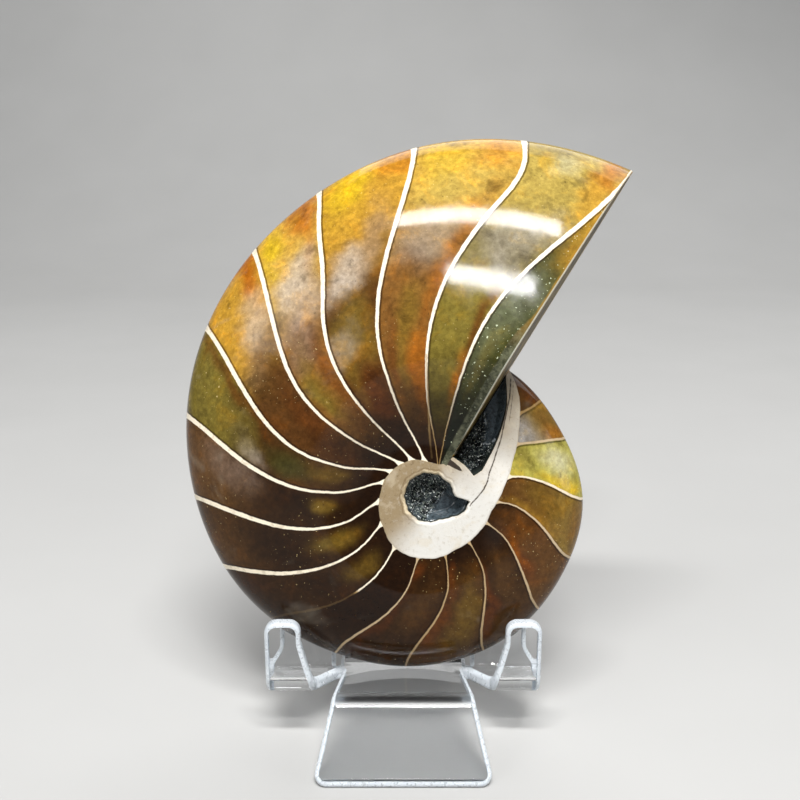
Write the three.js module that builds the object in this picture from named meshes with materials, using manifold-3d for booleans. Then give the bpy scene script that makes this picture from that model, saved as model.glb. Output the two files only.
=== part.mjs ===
// A polished fossil nautilus shell, one flat-backed half, leaning in a one-piece clear display stand.
// Millimetres, +Z up, the viewer on the -Y side. The origin is the middle of the base, on the ground.
import * as THREE from "three";
import { mergeVertices } from "three/addons/utils/BufferGeometryUtils.js";
import Module from "manifold-3d";

const wasm = await Module();
wasm.setup();

// The shell's plane: u to the right, v up, w out of the flat back towards the viewer.
const LEAN = THREE.MathUtils.degToRad(15);
const COIL_U = 5.6; // the coil's axis, right of the stand's middle
const COIL_ABOVE_SEAT = 33.8; // the coil's axis above the lowest point of the rim, along the plane
const MOUTH_DEG = 58; // the cut mouth's direction from the coil's axis
const TURN_STEPS = 80;

// Radii every 30 degrees, from the mouth round one whole turn back to the inner whorl under it.
const RIM_R = [76, 70.5, 62.4, 54.8, 47.6, 42, 36.8, 33.9, 32.1, 30.6, 30.4, 29.1, 29.6];
const SHOULDER_R = [7.1, 7.3, 8.8, 9.9, 10.2, 10.8, 11, 10.6, 10.2, 10.2, 9.6, 8.4, 7.1];

// Heights above the flat back.
const BULGE_PER_RIM = 0.3; // greatest height of the flank against the rim's radius
const BULGE_REACH = 0.34; // share of the flank over which the height goes from the shoulder's to the bulge's
const RING_HEIGHT = 10.8;
const RING_TILT = 0.09; // the ground ring stands a little higher at its top
const EDGE_HEIGHT = 0.8; // the upright edge at the rim
const EDGE_ROUND = 0.7; // how far the back's own edge is rounded in
const MOUTH_TILT = 0.12; // the mouth's face leans back by this much for each millimetre of height
const MOUTH_TILT_REACH_DEG = { outer: 26, inner: 7 }; // the lean fades out this far round from the cut

// The hollow at the coil's axis, a drop with its point to the lower right.
const HOLLOW_R = 4.7;
const HOLLOW_SWELL = 0.4; // a little wider towards the upper left
const HOLLOW_SWELL_DEG = 150;
const HOLLOW_POINT = 2.5;
const HOLLOW_POINT_DEG = 349;
const HOLLOW_POINT_SPREAD_DEG = 11;
const HOLLOW_DEPTH = 6;
const HOLLOW_FLOOR_SHARE = 0.86; // the floor's radius against the mouth's
const HOLLOW_FLOOR_RISE = 0.5;
const LIP = 0.25;

// The pocket beside the mouth, in the inner whorl.
const POCKET_START_DEG = 391;
const POCKET_INNER_R = 9;
const POCKET_OUTER_R = [11, 28.4];
const POCKET_GROWTH = 1.25;
const POCKET_FLOOR = 2.6;
const POCKET_WALL = 0.35; // how far its walls run in from its edge
const FLANK_STEPS = 9;

// The crusts of crystals: a gap below them, a thin base, and points of about the given height.
const CRUST_GAP = 0.3;
const CRUST_BASE = 0.5;
const CRUST_POINT = 1.6;

// The stand: one sheet, bent.
const SHEET = 2.6;
const LEDGE_TOP = 12.5;
const SEAT_GAP = 0.3;
const BEND_STEPS = 5;
const TONGUE_BEND_Y = -11.7;
const TONGUE_SLOPE = THREE.MathUtils.degToRad(49);
const TONGUE_FOOT_Y = -21.8;
const TONGUE_BEND_R = 2.4;
const TONGUE_HALF = { rear: 11.9, bend: 13.8, foot: 16.8 };
const FOOT_CORNER_R = 1.7;
const BACK_HALF = 24.6;
const BACK_LENGTH = 52;
const BACK_CORNER_R = 8;
const BACK_BEND_R = 2.3;
const LEG_HALF = 12.6;
const LEG_CUT = 0.9; // the saw cut each side of the leg
const LEG_LENGTH = 36;
const LEG_BEND_Y = 3.4;
const LEG_CORNER_R = 5;
const WINDOW_DROP = 0.4; // the window starts this far below the ledge's top
const HOOK_OUTER = 26.5;
const HOOK_FRONT_Y = -7.8;
const HOOK_TOP = 25.8;
const HOOK_BEND_R = 2.8;
const HOOK_CORNER_R = 2.4;
const HOOK_INNER = { tab: 19.6, knee: 18.3, foot: 17 };
const HOOK_KNEE_Z = { upper: 21.3, middle: 16.2, lower: 11 };
const SLIT_END_Y = -0.3;
const SLIT_END_X = 12.4;
const SLIT_END_R = 0.5;

const MATERIALS = {
  shell: { color: 0x6b3a17, roughness: 0.14, metalness: 0 },
  crystal: { color: 0x2c3134, roughness: 0.25, metalness: 0 },
  clear: { color: 0xe4eaf0, roughness: 0.06, metalness: 0, transparent: true, opacity: 0.35 },
};

// A smooth curve through evenly spaced values; place runs from 0 to the last index.
function along(values, place) {
  const last = values.length - 1;
  const i = Math.min(last - 1, Math.max(0, Math.floor(place)));
  const t = place - i;
  const [b, c] = [values[i], values[i + 1]];
  const a = i > 0 ? values[i - 1] : 2 * b - c;
  const d = i + 2 <= last ? values[i + 2] : 2 * c - b;
  return b + 0.5 * t * (c - a + t * (2 * a - 5 * b + 4 * c - d + t * (3 * (b - c) + d - a)));
}

function smooth(x) {
  const t = Math.min(1, Math.max(0, x));
  return t * t * (3 - 2 * t);
}

// Everything that one direction of the coil needs; turn runs from 0 at the mouth to 1 after a whole turn.
function spoke(turn) {
  const degrees = MOUTH_DEG + 360 * turn;
  const place = turn * (RIM_R.length - 1);
  const rim = along(RIM_R, place);
  const shoulder = along(SHOULDER_R, place);
  const off = (degrees - HOLLOW_POINT_DEG) / HOLLOW_POINT_SPREAD_DEG;
  const swell = HOLLOW_SWELL * Math.cos(THREE.MathUtils.degToRad(degrees - HOLLOW_SWELL_DEG));
  const hollow = HOLLOW_R + swell + HOLLOW_POINT * Math.exp(-off * off);
  const grown = (degrees - POCKET_START_DEG) / (MOUTH_DEG + 360 - POCKET_START_DEG);
  const outer = THREE.MathUtils.lerp(...POCKET_OUTER_R, Math.max(0, grown) ** POCKET_GROWTH);
  const inner = Math.max(POCKET_INNER_R, shoulder + 0.4);
  return {
    angle: THREE.MathUtils.degToRad(degrees),
    degrees,
    rim,
    shoulder,
    hollow,
    pocketInner: inner,
    pocketOuter: Math.max(inner + 1, outer),
    pocketOpen: smooth(grown * 9),
    bulge: BULGE_PER_RIM * rim,
  };
}

function ringHeight(s, r) {
  return RING_HEIGHT + RING_TILT * r * Math.sin(s.angle);
}

function flankHeight(s, r) {
  const out = Math.min(1, Math.max(0, (r - s.shoulder) / (s.rim - s.shoulder)));
  const start = ringHeight(s, s.shoulder) - EDGE_HEIGHT;
  const full = THREE.MathUtils.lerp(start, s.bulge, smooth(out / BULGE_REACH));
  return EDGE_HEIGHT + full * Math.sqrt(1 - out * out);
}

function outsideHeight(s, r) {
  return r <= s.shoulder ? ringHeight(s, r) : flankHeight(s, r);
}

// The shell's profile along one spoke, from the axis to the back's edge, as [radius, height].
function profile(s) {
  const floor = RING_HEIGHT - HOLLOW_DEPTH;
  const points = [
    [0, floor],
    [0.5 * s.hollow, floor],
    [HOLLOW_FLOOR_SHARE * s.hollow, floor + HOLLOW_FLOOR_RISE],
    [s.hollow - LIP, ringHeight(s, s.hollow) - 3 * LIP],
    [s.hollow + LIP, ringHeight(s, s.hollow) - 0.4 * LIP],
    [0.5 * (s.hollow + s.shoulder), ringHeight(s, 0.5 * (s.hollow + s.shoulder))],
    [s.shoulder, ringHeight(s, s.shoulder)],
  ];
  const sunk = (r) => [r, THREE.MathUtils.lerp(outsideHeight(s, r), POCKET_FLOOR, s.pocketOpen)];
  points.push([s.pocketInner, outsideHeight(s, s.pocketInner)]);
  points.push(sunk(s.pocketInner + POCKET_WALL * s.pocketOpen));
  points.push(sunk(0.5 * (s.pocketInner + s.pocketOuter)));
  points.push(sunk(s.pocketOuter - POCKET_WALL));
  points.push([s.pocketOuter, outsideHeight(s, s.pocketOuter)]);
  const from = Math.asin((s.pocketOuter - s.shoulder) / (s.rim - s.shoulder));
  for (let i = 1; i <= FLANK_STEPS; i++) {
    const out = Math.sin(from + ((Math.PI / 2 - from) * i) / FLANK_STEPS);
    const r = s.shoulder + (s.rim - s.shoulder) * out;
    points.push([r, flankHeight(s, r)]);
  }
  points.push([s.rim - 0.25 * EDGE_ROUND, 0.25 * EDGE_HEIGHT]);
  points.push([s.rim - EDGE_ROUND, 0]);
  return points;
}

// Plane coordinates about the coil's axis. Near the mouth a point moves round with its height, so the cut leans.
function planePoint(s, r, w) {
  const { outer, inner } = MOUTH_TILT_REACH_DEG;
  const after = smooth((s.degrees - MOUTH_DEG) / outer);
  const before = smooth((MOUTH_DEG + 360 - s.degrees) / inner);
  const shift = MOUTH_TILT * w * (2 - after - before) * Math.min(1, r / SHOULDER_R[0]);
  const mouth = THREE.MathUtils.degToRad(MOUTH_DEG);
  return new THREE.Vector3(
    r * Math.cos(s.angle) - shift * Math.sin(mouth),
    r * Math.sin(s.angle) + shift * Math.cos(mouth),
    w,
  );
}

// A closed geometry from triangles of points; points closer than a thousandth are one.
function closedGeometry(triangles) {
  const flat = triangles.flatMap((p) => [p.x, p.y, p.z]);
  const loose = new THREE.BufferGeometry();
  loose.setAttribute("position", new THREE.Float32BufferAttribute(flat, 3));
  const merged = mergeVertices(loose, 1e-3);
  const index = merged.index.array;
  const kept = [];
  for (let i = 0; i < index.length; i += 3) {
    const [a, b, c] = index.slice(i, i + 3);
    if (a !== b && b !== c && c !== a) kept.push(a, b, c);
  }
  merged.setIndex(kept);
  return merged;
}

// Fills a flat loop of points, seen as a 2D outline by the function flat.
function fillLoop(loop, flat, triangles) {
  const outline = loop.map(flat);
  const turned = THREE.ShapeUtils.area(outline) < 0;
  for (const [a, b, c] of THREE.ShapeUtils.triangulateShape(outline, [])) {
    triangles.push(loop[a], loop[turned ? c : b], loop[turned ? b : c]);
  }
}

function shellGeometry() {
  const columns = [];
  for (let i = 0; i <= TURN_STEPS; i++) {
    const s = spoke(i / TURN_STEPS);
    columns.push(profile(s).map(([r, w]) => planePoint(s, r, w)));
  }
  const triangles = [];
  for (let i = 0; i < TURN_STEPS; i++) {
    const [here, next] = [columns[i], columns[i + 1]];
    for (let j = 0; j + 1 < here.length; j++) {
      triangles.push(here[j], here[j + 1], next[j + 1]);
      triangles.push(here[j], next[j + 1], next[j]);
    }
  }
  // The mouth's cut face lies between the last whorl's profile and the inner whorl's.
  const shoulderAt = profile(spoke(0)).findIndex(([r]) => r === SHOULDER_R[0]);
  const first = columns[0].slice(shoulderAt);
  const last = columns[TURN_STEPS].slice(shoulderAt + 1);
  const mouthLoop = [...first, ...last.reverse()];
  const radial = new THREE.Vector3(Math.cos(spoke(0).angle), Math.sin(spoke(0).angle), 0);
  const wall = [];
  fillLoop(mouthLoop, (p) => new THREE.Vector2(p.dot(radial), p.z), wall);
  // Its outward side faces away from the first chambers, to the lower right.
  const outward = new THREE.Vector3(radial.y, -radial.x, 0);
  const made = new THREE.Triangle(wall[0], wall[1], wall[2]).getNormal(new THREE.Vector3());
  for (let i = 0; i < wall.length; i += 3) {
    const [a, b, c] = wall.slice(i, i + 3);
    triangles.push(a, ...(made.dot(outward) > 0 ? [b, c] : [c, b]));
  }
  const back = columns.map((column) => column[column.length - 1]);
  const floor = [];
  fillLoop(back, (p) => new THREE.Vector2(p.x, p.y), floor);
  for (let i = 0; i < floor.length; i += 3) {
    triangles.push(floor[i], floor[i + 2], floor[i + 1]);
  }
  return closedGeometry(triangles);
}

// A repeatable scatter between 0 and 1 for the crystals' heights.
function scatter(i, j) {
  const x = Math.sin(i * 127.1 + j * 311.7) * 43758.5453;
  return x - Math.floor(x);
}

// A crust of crystal points with a smooth underside: a grid of pyramids over a floor patch.
function crustGeometry(place, rows, columns) {
  const triangles = [];
  const base = CRUST_BASE;
  const at = (i, j, w) => place(i / rows, j / columns, w);
  for (let i = 0; i < rows; i++) {
    for (let j = 0; j < columns; j++) {
      const corners = [at(i, j, base), at(i + 1, j, base), at(i + 1, j + 1, base), at(i, j + 1, base)];
      const tip = at(i + 0.3 + 0.4 * scatter(i, j), j + 0.3 + 0.4 * scatter(j, i), base);
      tip.z += CRUST_POINT * (0.35 + 0.65 * scatter(i + 9, j + 4));
      const under = [at(i, j, 0), at(i + 1, j, 0), at(i + 1, j + 1, 0), at(i, j + 1, 0)];
      for (let k = 0; k < 4; k++) triangles.push(corners[k], corners[(k + 1) % 4], tip);
      triangles.push(under[0], under[2], under[1], under[0], under[3], under[2]);
    }
  }
  const edge = (a, b, c, d) => {
    triangles.push(at(a, b, 0), at(c, d, 0), at(c, d, base));
    triangles.push(at(a, b, 0), at(c, d, base), at(a, b, base));
  };
  for (let i = 0; i < rows; i++) {
    edge(i, 0, i + 1, 0);
    edge(i + 1, columns, i, columns);
  }
  for (let j = 0; j < columns; j++) {
    edge(rows, j, rows, j + 1);
    edge(0, j + 1, 0, j);
  }
  return closedGeometry(triangles);
}

// A square patch laid over the round hollow's floor.
function hollowCrust() {
  const floor = RING_HEIGHT - HOLLOW_DEPTH + HOLLOW_FLOOR_RISE + CRUST_GAP;
  const place = (p, q, w) => {
    const [x, y] = [2 * p - 1, 2 * q - 1];
    const far = Math.max(Math.abs(x), Math.abs(y));
    const turn = Math.atan2(y, x);
    const from = THREE.MathUtils.degToRad(MOUTH_DEG);
    const s = spoke(THREE.MathUtils.euclideanModulo(turn - from, 2 * Math.PI) / (2 * Math.PI));
    const r = far * (HOLLOW_FLOOR_SHARE * s.hollow - CRUST_GAP);
    return new THREE.Vector3(r * Math.cos(turn), r * Math.sin(turn), floor + w);
  };
  return crustGeometry(place, 9, 9);
}

// A strip laid along the pocket's floor, from its narrow start to the mouth's face.
function pocketCrust() {
  const from = (POCKET_START_DEG + 5.5 - MOUTH_DEG) / 360;
  const place = (p, q, w) => {
    const s = spoke(THREE.MathUtils.lerp(from, 0.9965, q));
    const inner = s.pocketInner + POCKET_WALL + CRUST_GAP;
    const outer = s.pocketOuter - POCKET_WALL - CRUST_GAP;
    return planePoint(s, THREE.MathUtils.lerp(inner, outer, p), POCKET_FLOOR + CRUST_GAP + w);
  };
  return crustGeometry(place, 4, 14);
}

// A bent sheet's section: a centre line through corner points, its bends rounded to the given radii.
function sheetShape(corners) {
  const line = [corners[0].point];
  for (let i = 1; i + 1 < corners.length; i++) {
    const { point, radius } = corners[i];
    const back = corners[i - 1].point.clone().sub(point).normalize();
    const ahead = corners[i + 1].point.clone().sub(point).normalize();
    const half = Math.acos(THREE.MathUtils.clamp(back.dot(ahead), -1, 1)) / 2;
    const reach = radius / Math.tan(half);
    const middle = back.clone().add(ahead).normalize().multiplyScalar(radius / Math.sin(half));
    const centre = point.clone().add(middle);
    const start = point.clone().addScaledVector(back, reach).sub(centre);
    const end = point.clone().addScaledVector(ahead, reach).sub(centre);
    const swing = Math.atan2(start.cross(end), start.dot(end));
    for (let k = 0; k <= BEND_STEPS; k++) {
      const turned = start.clone().rotateAround(new THREE.Vector2(), (swing * k) / BEND_STEPS);
      line.push(turned.add(centre));
    }
  }
  line.push(corners[corners.length - 1].point);
  const side = (sign) =>
    line.map((p, i) => {
      const before = line[Math.max(0, i - 1)];
      const after = line[Math.min(line.length - 1, i + 1)];
      const forward = after.clone().sub(before).normalize();
      return new THREE.Vector2(p.x - (sign * forward.y * SHEET) / 2, p.y + (sign * forward.x * SHEET) / 2);
    });
  return new THREE.Shape([...side(1), ...side(-1).reverse()]);
}

function corner(y, z, radius = 0) {
  return { point: new THREE.Vector2(y, z), radius };
}

function solid(geometry) {
  const bare = geometry.index ? geometry.toNonIndexed() : geometry.clone();
  bare.deleteAttribute("normal");
  bare.deleteAttribute("uv");
  const merged = mergeVertices(bare, 1e-3);
  const triVerts = new Uint32Array(merged.index.array);
  const vertProperties = merged.attributes.position.array;
  return new wasm.Manifold(new wasm.Mesh({ numProp: 3, vertProperties, triVerts }));
}

// A section in Y and Z, drawn out along X.
function strip(shape, fromX, toX) {
  const made = new THREE.ExtrudeGeometry(shape, { depth: toX - fromX, bevelEnabled: false });
  made.applyMatrix4(new THREE.Matrix4().makeBasis(
    new THREE.Vector3(0, 1, 0),
    new THREE.Vector3(0, 0, 1),
    new THREE.Vector3(1, 0, 0),
  ));
  made.translate(fromX, 0, 0);
  return solid(made);
}

// An outline in X and Y, drawn out along Z.
function plan(shape, fromZ, toZ) {
  const made = new THREE.ExtrudeGeometry(shape, { depth: toZ - fromZ, bevelEnabled: false, curveSegments: 6 });
  made.translate(0, 0, fromZ);
  return solid(made);
}

// An outline in X and up, drawn out along Y and leaning back by the given angle about the seat.
function front(shape, fromY, toY, lean = 0) {
  const made = new THREE.ExtrudeGeometry(shape, { depth: toY - fromY, bevelEnabled: false, curveSegments: 6 });
  made.translate(0, 0, -toY);
  made.rotateX(Math.PI / 2 - lean);
  made.translate(0, 0, LEDGE_TOP);
  return solid(made);
}

// A closed outline with rounded corners, from [x, y, radius].
function rounded(points) {
  const shape = new THREE.Shape();
  points.forEach(([x, y, radius], i) => {
    const here = new THREE.Vector2(x, y);
    const [px, py] = points[(i + points.length - 1) % points.length];
    const [nx, ny] = points[(i + 1) % points.length];
    const start = here.clone().add(new THREE.Vector2(px - x, py - y).setLength(radius));
    const end = here.clone().add(new THREE.Vector2(nx - x, ny - y).setLength(radius));
    if (i === 0) shape.moveTo(start.x, start.y);
    else shape.lineTo(start.x, start.y);
    if (radius > 0) shape.quadraticCurveTo(x, y, end.x, end.y);
  });
  shape.closePath();
  return shape;
}

function standSolid() {
  const middle = LEDGE_TOP - SHEET / 2;
  const half = SHEET / 2;
  const slopeY = Math.cos(TONGUE_SLOPE);
  const slopeZ = Math.sin(TONGUE_SLOPE);
  const bendY = TONGUE_BEND_Y + half * Math.tan(TONGUE_SLOPE / 2);
  const footReach = middle / slopeZ + 0.4;
  const legFall = Math.asin(middle / LEG_LENGTH);
  const legReach = LEG_LENGTH + 1;

  // The middle strip: front foot, tongue, ledge and rear leg.
  const middleStrip = sheetShape([
    corner(bendY - slopeY * footReach, middle - slopeZ * footReach),
    corner(bendY, middle, TONGUE_BEND_R),
    corner(LEG_BEND_Y, middle, TONGUE_BEND_R),
    corner(LEG_BEND_Y + Math.cos(legFall) * legReach, middle - Math.sin(legFall) * legReach),
  ]);
  const footEdgeY = TONGUE_FOOT_Y - 1;
  const legEndY = LEG_BEND_Y + Math.cos(legFall) * LEG_LENGTH;
  const { rear, bend, foot } = TONGUE_HALF;
  const middlePlan = rounded([
    [-foot, footEdgeY, FOOT_CORNER_R],
    [foot, footEdgeY, FOOT_CORNER_R],
    [bend, TONGUE_BEND_Y, 1],
    [rear, SLIT_END_Y, 0.2],
    [LEG_HALF, SLIT_END_Y + 0.8, 0.2],
    [LEG_HALF, legEndY + 2, LEG_CORNER_R],
    [-LEG_HALF, legEndY + 2, LEG_CORNER_R],
    [-LEG_HALF, SLIT_END_Y + 0.8, 0.2],
    [-rear, SLIT_END_Y, 0.2],
    [-bend, TONGUE_BEND_Y, 1],
  ]);
  let made = strip(middleStrip, -foot, foot).intersect(plan(middlePlan, -5, LEDGE_TOP + 1));

  // The ledge's rear and the back rest, with the window that the leg was cut from.
  const backY = SEAT_GAP + half * Math.tan((Math.PI / 2 - LEAN) / 2);
  const backStrip = sheetShape([
    corner(SLIT_END_Y - 0.2, middle),
    corner(backY, middle, BACK_BEND_R),
    corner(backY + Math.sin(LEAN) * BACK_LENGTH, middle + Math.cos(LEAN) * BACK_LENGTH),
  ]);
  const flare = HOOK_OUTER;
  const backOutline = rounded([
    [-flare, -SHEET - 1, 0],
    [flare, -SHEET - 1, 0],
    [flare, 1, 1.5],
    [BACK_HALF, 4, 2.4],
    [BACK_HALF, BACK_LENGTH - 1.2, BACK_CORNER_R],
    [-BACK_HALF, BACK_LENGTH - 1.2, BACK_CORNER_R],
    [-BACK_HALF, 4, 2.4],
    [-flare, 1, 1.5],
  ]);
  const windowHalf = LEG_HALF + LEG_CUT;
  const window = rounded([
    [-windowHalf, -WINDOW_DROP, 0],
    [windowHalf, -WINDOW_DROP, 0],
    [windowHalf, LEG_LENGTH, LEG_CORNER_R],
    [-windowHalf, LEG_LENGTH, LEG_CORNER_R],
  ]);
  const windowCut = front(window, -12, 12, LEAN);
  const back = strip(backStrip, -flare, flare)
    .intersect(front(backOutline, -12, 12, LEAN))
    .subtract(windowCut);
  made = made.add(back);

  // The two hooks, each with its part of the ledge.
  const hookMiddleY = HOOK_FRONT_Y + half;
  const hookStrip = sheetShape([
    corner(SLIT_END_Y + 1, middle),
    corner(hookMiddleY, middle, HOOK_BEND_R),
    corner(hookMiddleY, HOOK_TOP),
  ]);
  const { tab, knee, foot: innerFoot } = HOOK_INNER;
  for (const side of [-1, 1]) {
    const hookOutline = rounded([
      [side * HOOK_OUTER, -SHEET - 1, 0],
      [side * HOOK_OUTER, HOOK_TOP - LEDGE_TOP, HOOK_CORNER_R],
      [side * tab, HOOK_TOP - LEDGE_TOP, HOOK_CORNER_R],
      [side * tab, HOOK_KNEE_Z.upper - LEDGE_TOP, 1.6],
      [side * knee, HOOK_KNEE_Z.middle - LEDGE_TOP, 1.6],
      [side * innerFoot, HOOK_KNEE_Z.lower - LEDGE_TOP, 0.5],
      [side * (SLIT_END_X - 1), HOOK_KNEE_Z.lower - LEDGE_TOP - 0.2, 0],
      [side * (SLIT_END_X - 1), -SHEET - 1, 0],
    ]);
    const fromX = side < 0 ? -HOOK_OUTER : SLIT_END_X - 1;
    const toX = side < 0 ? 1 - SLIT_END_X : HOOK_OUTER;
    const slit = rounded([
      [side * (SLIT_END_X - 0.5), SLIT_END_Y, SLIT_END_R],
      [side * (SLIT_END_X + 0.5), SLIT_END_Y, SLIT_END_R],
      [side * innerFoot, -5.2, 0.6],
      [side * innerFoot, HOOK_FRONT_Y - 1, 0],
      [side * (SLIT_END_X - 3), HOOK_FRONT_Y - 1, 0],
      [side * (SLIT_END_X - 3), -5, 0],
    ]);
    const hook = strip(hookStrip, fromX, toX).intersect(front(hookOutline, -12, 12));
    made = made.add(hook.subtract(plan(slit, LEDGE_TOP - SHEET - 1, HOOK_TOP)));
  }

  // Both feet end flat on the ground.
  const ground = new THREE.Shape([
    new THREE.Vector2(-60, -60),
    new THREE.Vector2(60, -60),
    new THREE.Vector2(60, 60),
    new THREE.Vector2(-60, 60),
  ]);
  return made.subtract(plan(ground, -20, 0));
}

function solidGeometry(made) {
  const mesh = made.getMesh();
  const geometry = new THREE.BufferGeometry();
  geometry.setAttribute("position", new THREE.BufferAttribute(mesh.vertProperties, 3));
  geometry.setIndex(new THREE.BufferAttribute(mesh.triVerts, 1));
  return geometry;
}

function named(name, geometry, look) {
  const material = new THREE.MeshStandardMaterial({ ...MATERIALS[look], flatShading: true });
  const mesh = new THREE.Mesh(geometry, material);
  mesh.name = name;
  return mesh;
}

// The shell and its crusts share the leaning plane, whose lowest point rests on the ledge.
const shell = new THREE.Group();
shell.add(named("fossil_shell_half", shellGeometry(), "shell"));
shell.add(named("umbilical_crystal_crust", hollowCrust(), "crystal"));
shell.add(named("mouth_crystal_crust", pocketCrust(), "crystal"));
shell.rotation.x = Math.PI / 2 - LEAN;
shell.position.set(
  COIL_U,
  SEAT_GAP * Math.tan(LEAN) + COIL_ABOVE_SEAT * Math.sin(LEAN),
  LEDGE_TOP + SEAT_GAP + COIL_ABOVE_SEAT * Math.cos(LEAN),
);

const object = new THREE.Group();
object.add(shell);
object.add(named("display_stand", solidGeometry(standSolid()), "clear"));
object.updateMatrixWorld(true);
const box = new THREE.Box3().setFromObject(object, true);
object.position.set(-(box.min.x + box.max.x) / 2, -(box.min.y + box.max.y) / 2, -box.min.z);

export default object;
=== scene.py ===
"""A polished fossil nautilus shell, one flat-backed half, leaning in a clear one-piece display stand.

Metres, +Z up, the viewer on the -Y side. Shapes are worked out in millimetres and scaled once, when a mesh
is made.
"""
import math

import bmesh
import bpy
import numpy as np
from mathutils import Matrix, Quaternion, Vector, geometry


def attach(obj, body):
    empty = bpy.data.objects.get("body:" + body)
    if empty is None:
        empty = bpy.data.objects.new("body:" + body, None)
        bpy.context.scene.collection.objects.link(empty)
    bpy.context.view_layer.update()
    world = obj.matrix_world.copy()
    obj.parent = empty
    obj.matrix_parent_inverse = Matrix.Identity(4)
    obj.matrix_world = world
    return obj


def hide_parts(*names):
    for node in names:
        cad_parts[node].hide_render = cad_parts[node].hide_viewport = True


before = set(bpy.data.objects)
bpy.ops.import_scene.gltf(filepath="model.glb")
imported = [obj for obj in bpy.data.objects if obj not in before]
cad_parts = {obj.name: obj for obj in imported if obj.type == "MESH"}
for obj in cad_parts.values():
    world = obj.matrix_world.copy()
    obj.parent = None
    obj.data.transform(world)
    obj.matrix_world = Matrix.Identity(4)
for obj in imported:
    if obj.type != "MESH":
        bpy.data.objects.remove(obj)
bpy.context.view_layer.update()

MM = 0.001

# The shell's form, in millimetres and degrees.
LEAN = math.radians(15)
COIL_ABOVE_SEAT = 33.8
SEAT_GAP = 0.3
LEDGE_TOP = 12.5
MIDDLE = (-1.2712, -8.4406)  # the stand's own middle, from the middle of the whole object
COIL_U = 5.6
MOUTH_DEG = 58
RIM_R = [76, 70.5, 62.4, 54.8, 47.6, 42, 36.8, 33.9, 32.1, 30.6, 30.4, 29.1, 29.6]
SHOULDER_R = [7.1, 7.3, 8.8, 9.9, 10.2, 10.8, 11, 10.6, 10.2, 10.2, 9.6, 8.4, 7.1]
RIM_INSET = 0.2
BULGE_PER_RIM = 0.3
BULGE_REACH = 0.38
RING_HEIGHT = 10.8
RING_TILT = 0.09
EDGE_HEIGHT = 0.8
EDGE_ROUND = 0.7
MOUTH_TILT = 0.12
MOUTH_TILT_REACH = {"outer": 26, "inner": 7}
MOUTH_EDGE_R = 0.3
HOLLOW_R = 4.85
HOLLOW_SWELL = 0.95
HOLLOW_SWELL_DEG = 140
HOLLOW_POINT = 3.0
HOLLOW_POINT_DEG = 356
HOLLOW_POINT_SPREAD = (42, 9)
HOLLOW_DEPTH = 6
HOLLOW_FLOOR_SHARE = 0.86
HOLLOW_FLOOR_RISE = 0.5
LIP = 0.25
POCKET_START_DEG = 391
POCKET_INNER_R = 9
POCKET_OUTER_R = (11, 28.4)
POCKET_GROWTH = 1.25
POCKET_FLOOR = 2.6
POCKET_WALL = 0.35

# The shell's markings.
# Each suture: its angle at the rim, how far it sweeps back inwards, how far its root hooks forward, and its
# bends off that line, in hundredths of a chamber, at SUTURE_SHARES of the way from the band to the rim.
SUTURE_SHARES = [0, 0.1, 0.25, 0.4, 0.55, 0.7, 0.85, 1]
SUTURE_EASING = (-0.06, -0.03, 0, 0.03, 0.06)  # the bends are averaged over these steps
SUTURES = [
    (58, 20, 0, (22, 8, -2, -9, -18, -16, -6, 0)),
    (75, 18, 10, (-2, 0, 5, 7, 5, -1, -13, 5)),
    (93, 17, 11, (15, 2, 2, 10, 9, 5, 2, -1)),
    (110, 17, 8, (-12, -9, 0, 11, 15, 4, 11, 0)),
    (126, 16.5, 12.5, (8, -5, -1, 11, 15, 9, 4, -2)),
    (143, 17, 13.5, (-11, -14, -4, 10, 13, 9, 4, 0)),
    (162, 14, 13.5, (-18, -15, -8, 1, 5, 6, 1, -3)),
    (180, 15, 12, (-11, -10, -7, -4, 0, 2, 3, -1)),
    (199, 14.5, 7, (-8, -4, -3, 1, 5, 9, 5, -4)),
    (218, 16, 2, (-8, -3, -5, -6, -1, 1, -3, -5)),
    (238.5, 18, 0, (-3, -5, -9, -13, -12, -10, -6, 1)),
    (262.5, 19, 0, (7, 4, -3, -9, -11, -11, -8, -4)),
    (289, 19, -1, (9, 6, -3, -12, -14, -11, -5, 0)),
    (313.5, 20.5, -1, (14, 10, -4, -16, -16, -8, -2, 2)),
    (335, 22.5, 0, (8, 7, -1, -9, -6, -1, 3, 7)),
    (357, 20, 0, (3, 3, 4, 4, 7, 11, 11, 9)),
    (382, 17, 0, (0, 0, 0, 2, 2, 7, 13, 7)),
    (400.5, 14, 0, (0, 0, 0, 0, 0, 1, 5, 5)),
]
SUTURE_HALF = {"rim": 0.44, "root": 0.15, "late": 0.55}
SUTURE_TONES = [1, 1, 1, 1, 1, 1, 1, 1, 1, 0.95, 0.5, 0.42, 0.45, 0.5, 0.55, 0.72, 0.5, 0.3]
SUTURE_KNOB = 0.22
SUTURE_FLARE, SUTURE_FLARE_REACH = 0.5, 0.45
FADED_SUTURE, FADED_FROM = 9, 0.38  # the tenth is pale only near its root
BRANCH = [(93.2, 27.5), (93.2, 23), (93, 19.1), (93.1, 15.4), (92.8, 11.6), (91.2, 8.1)]
SCRATCHES = [[(99.5, 32), (91.5, 31.0), (79.1, 30.8)], [(108.2, 21), (99, 19.9)]]
# The band's painted shade, which turns it tan, is deepest in this direction, in degrees.
BAND_SHADE_DEG = 130
# A dark wedge between the band and the pocket's lower wall.
NOTCH = {"r": 7.85, "tip_deg": 403.5, "half": 0.62}
SECOND_CRACK = [(404, 20.4), (408.8, 23.2), (412.6, 26), (416.5, 29.2)]
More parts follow.
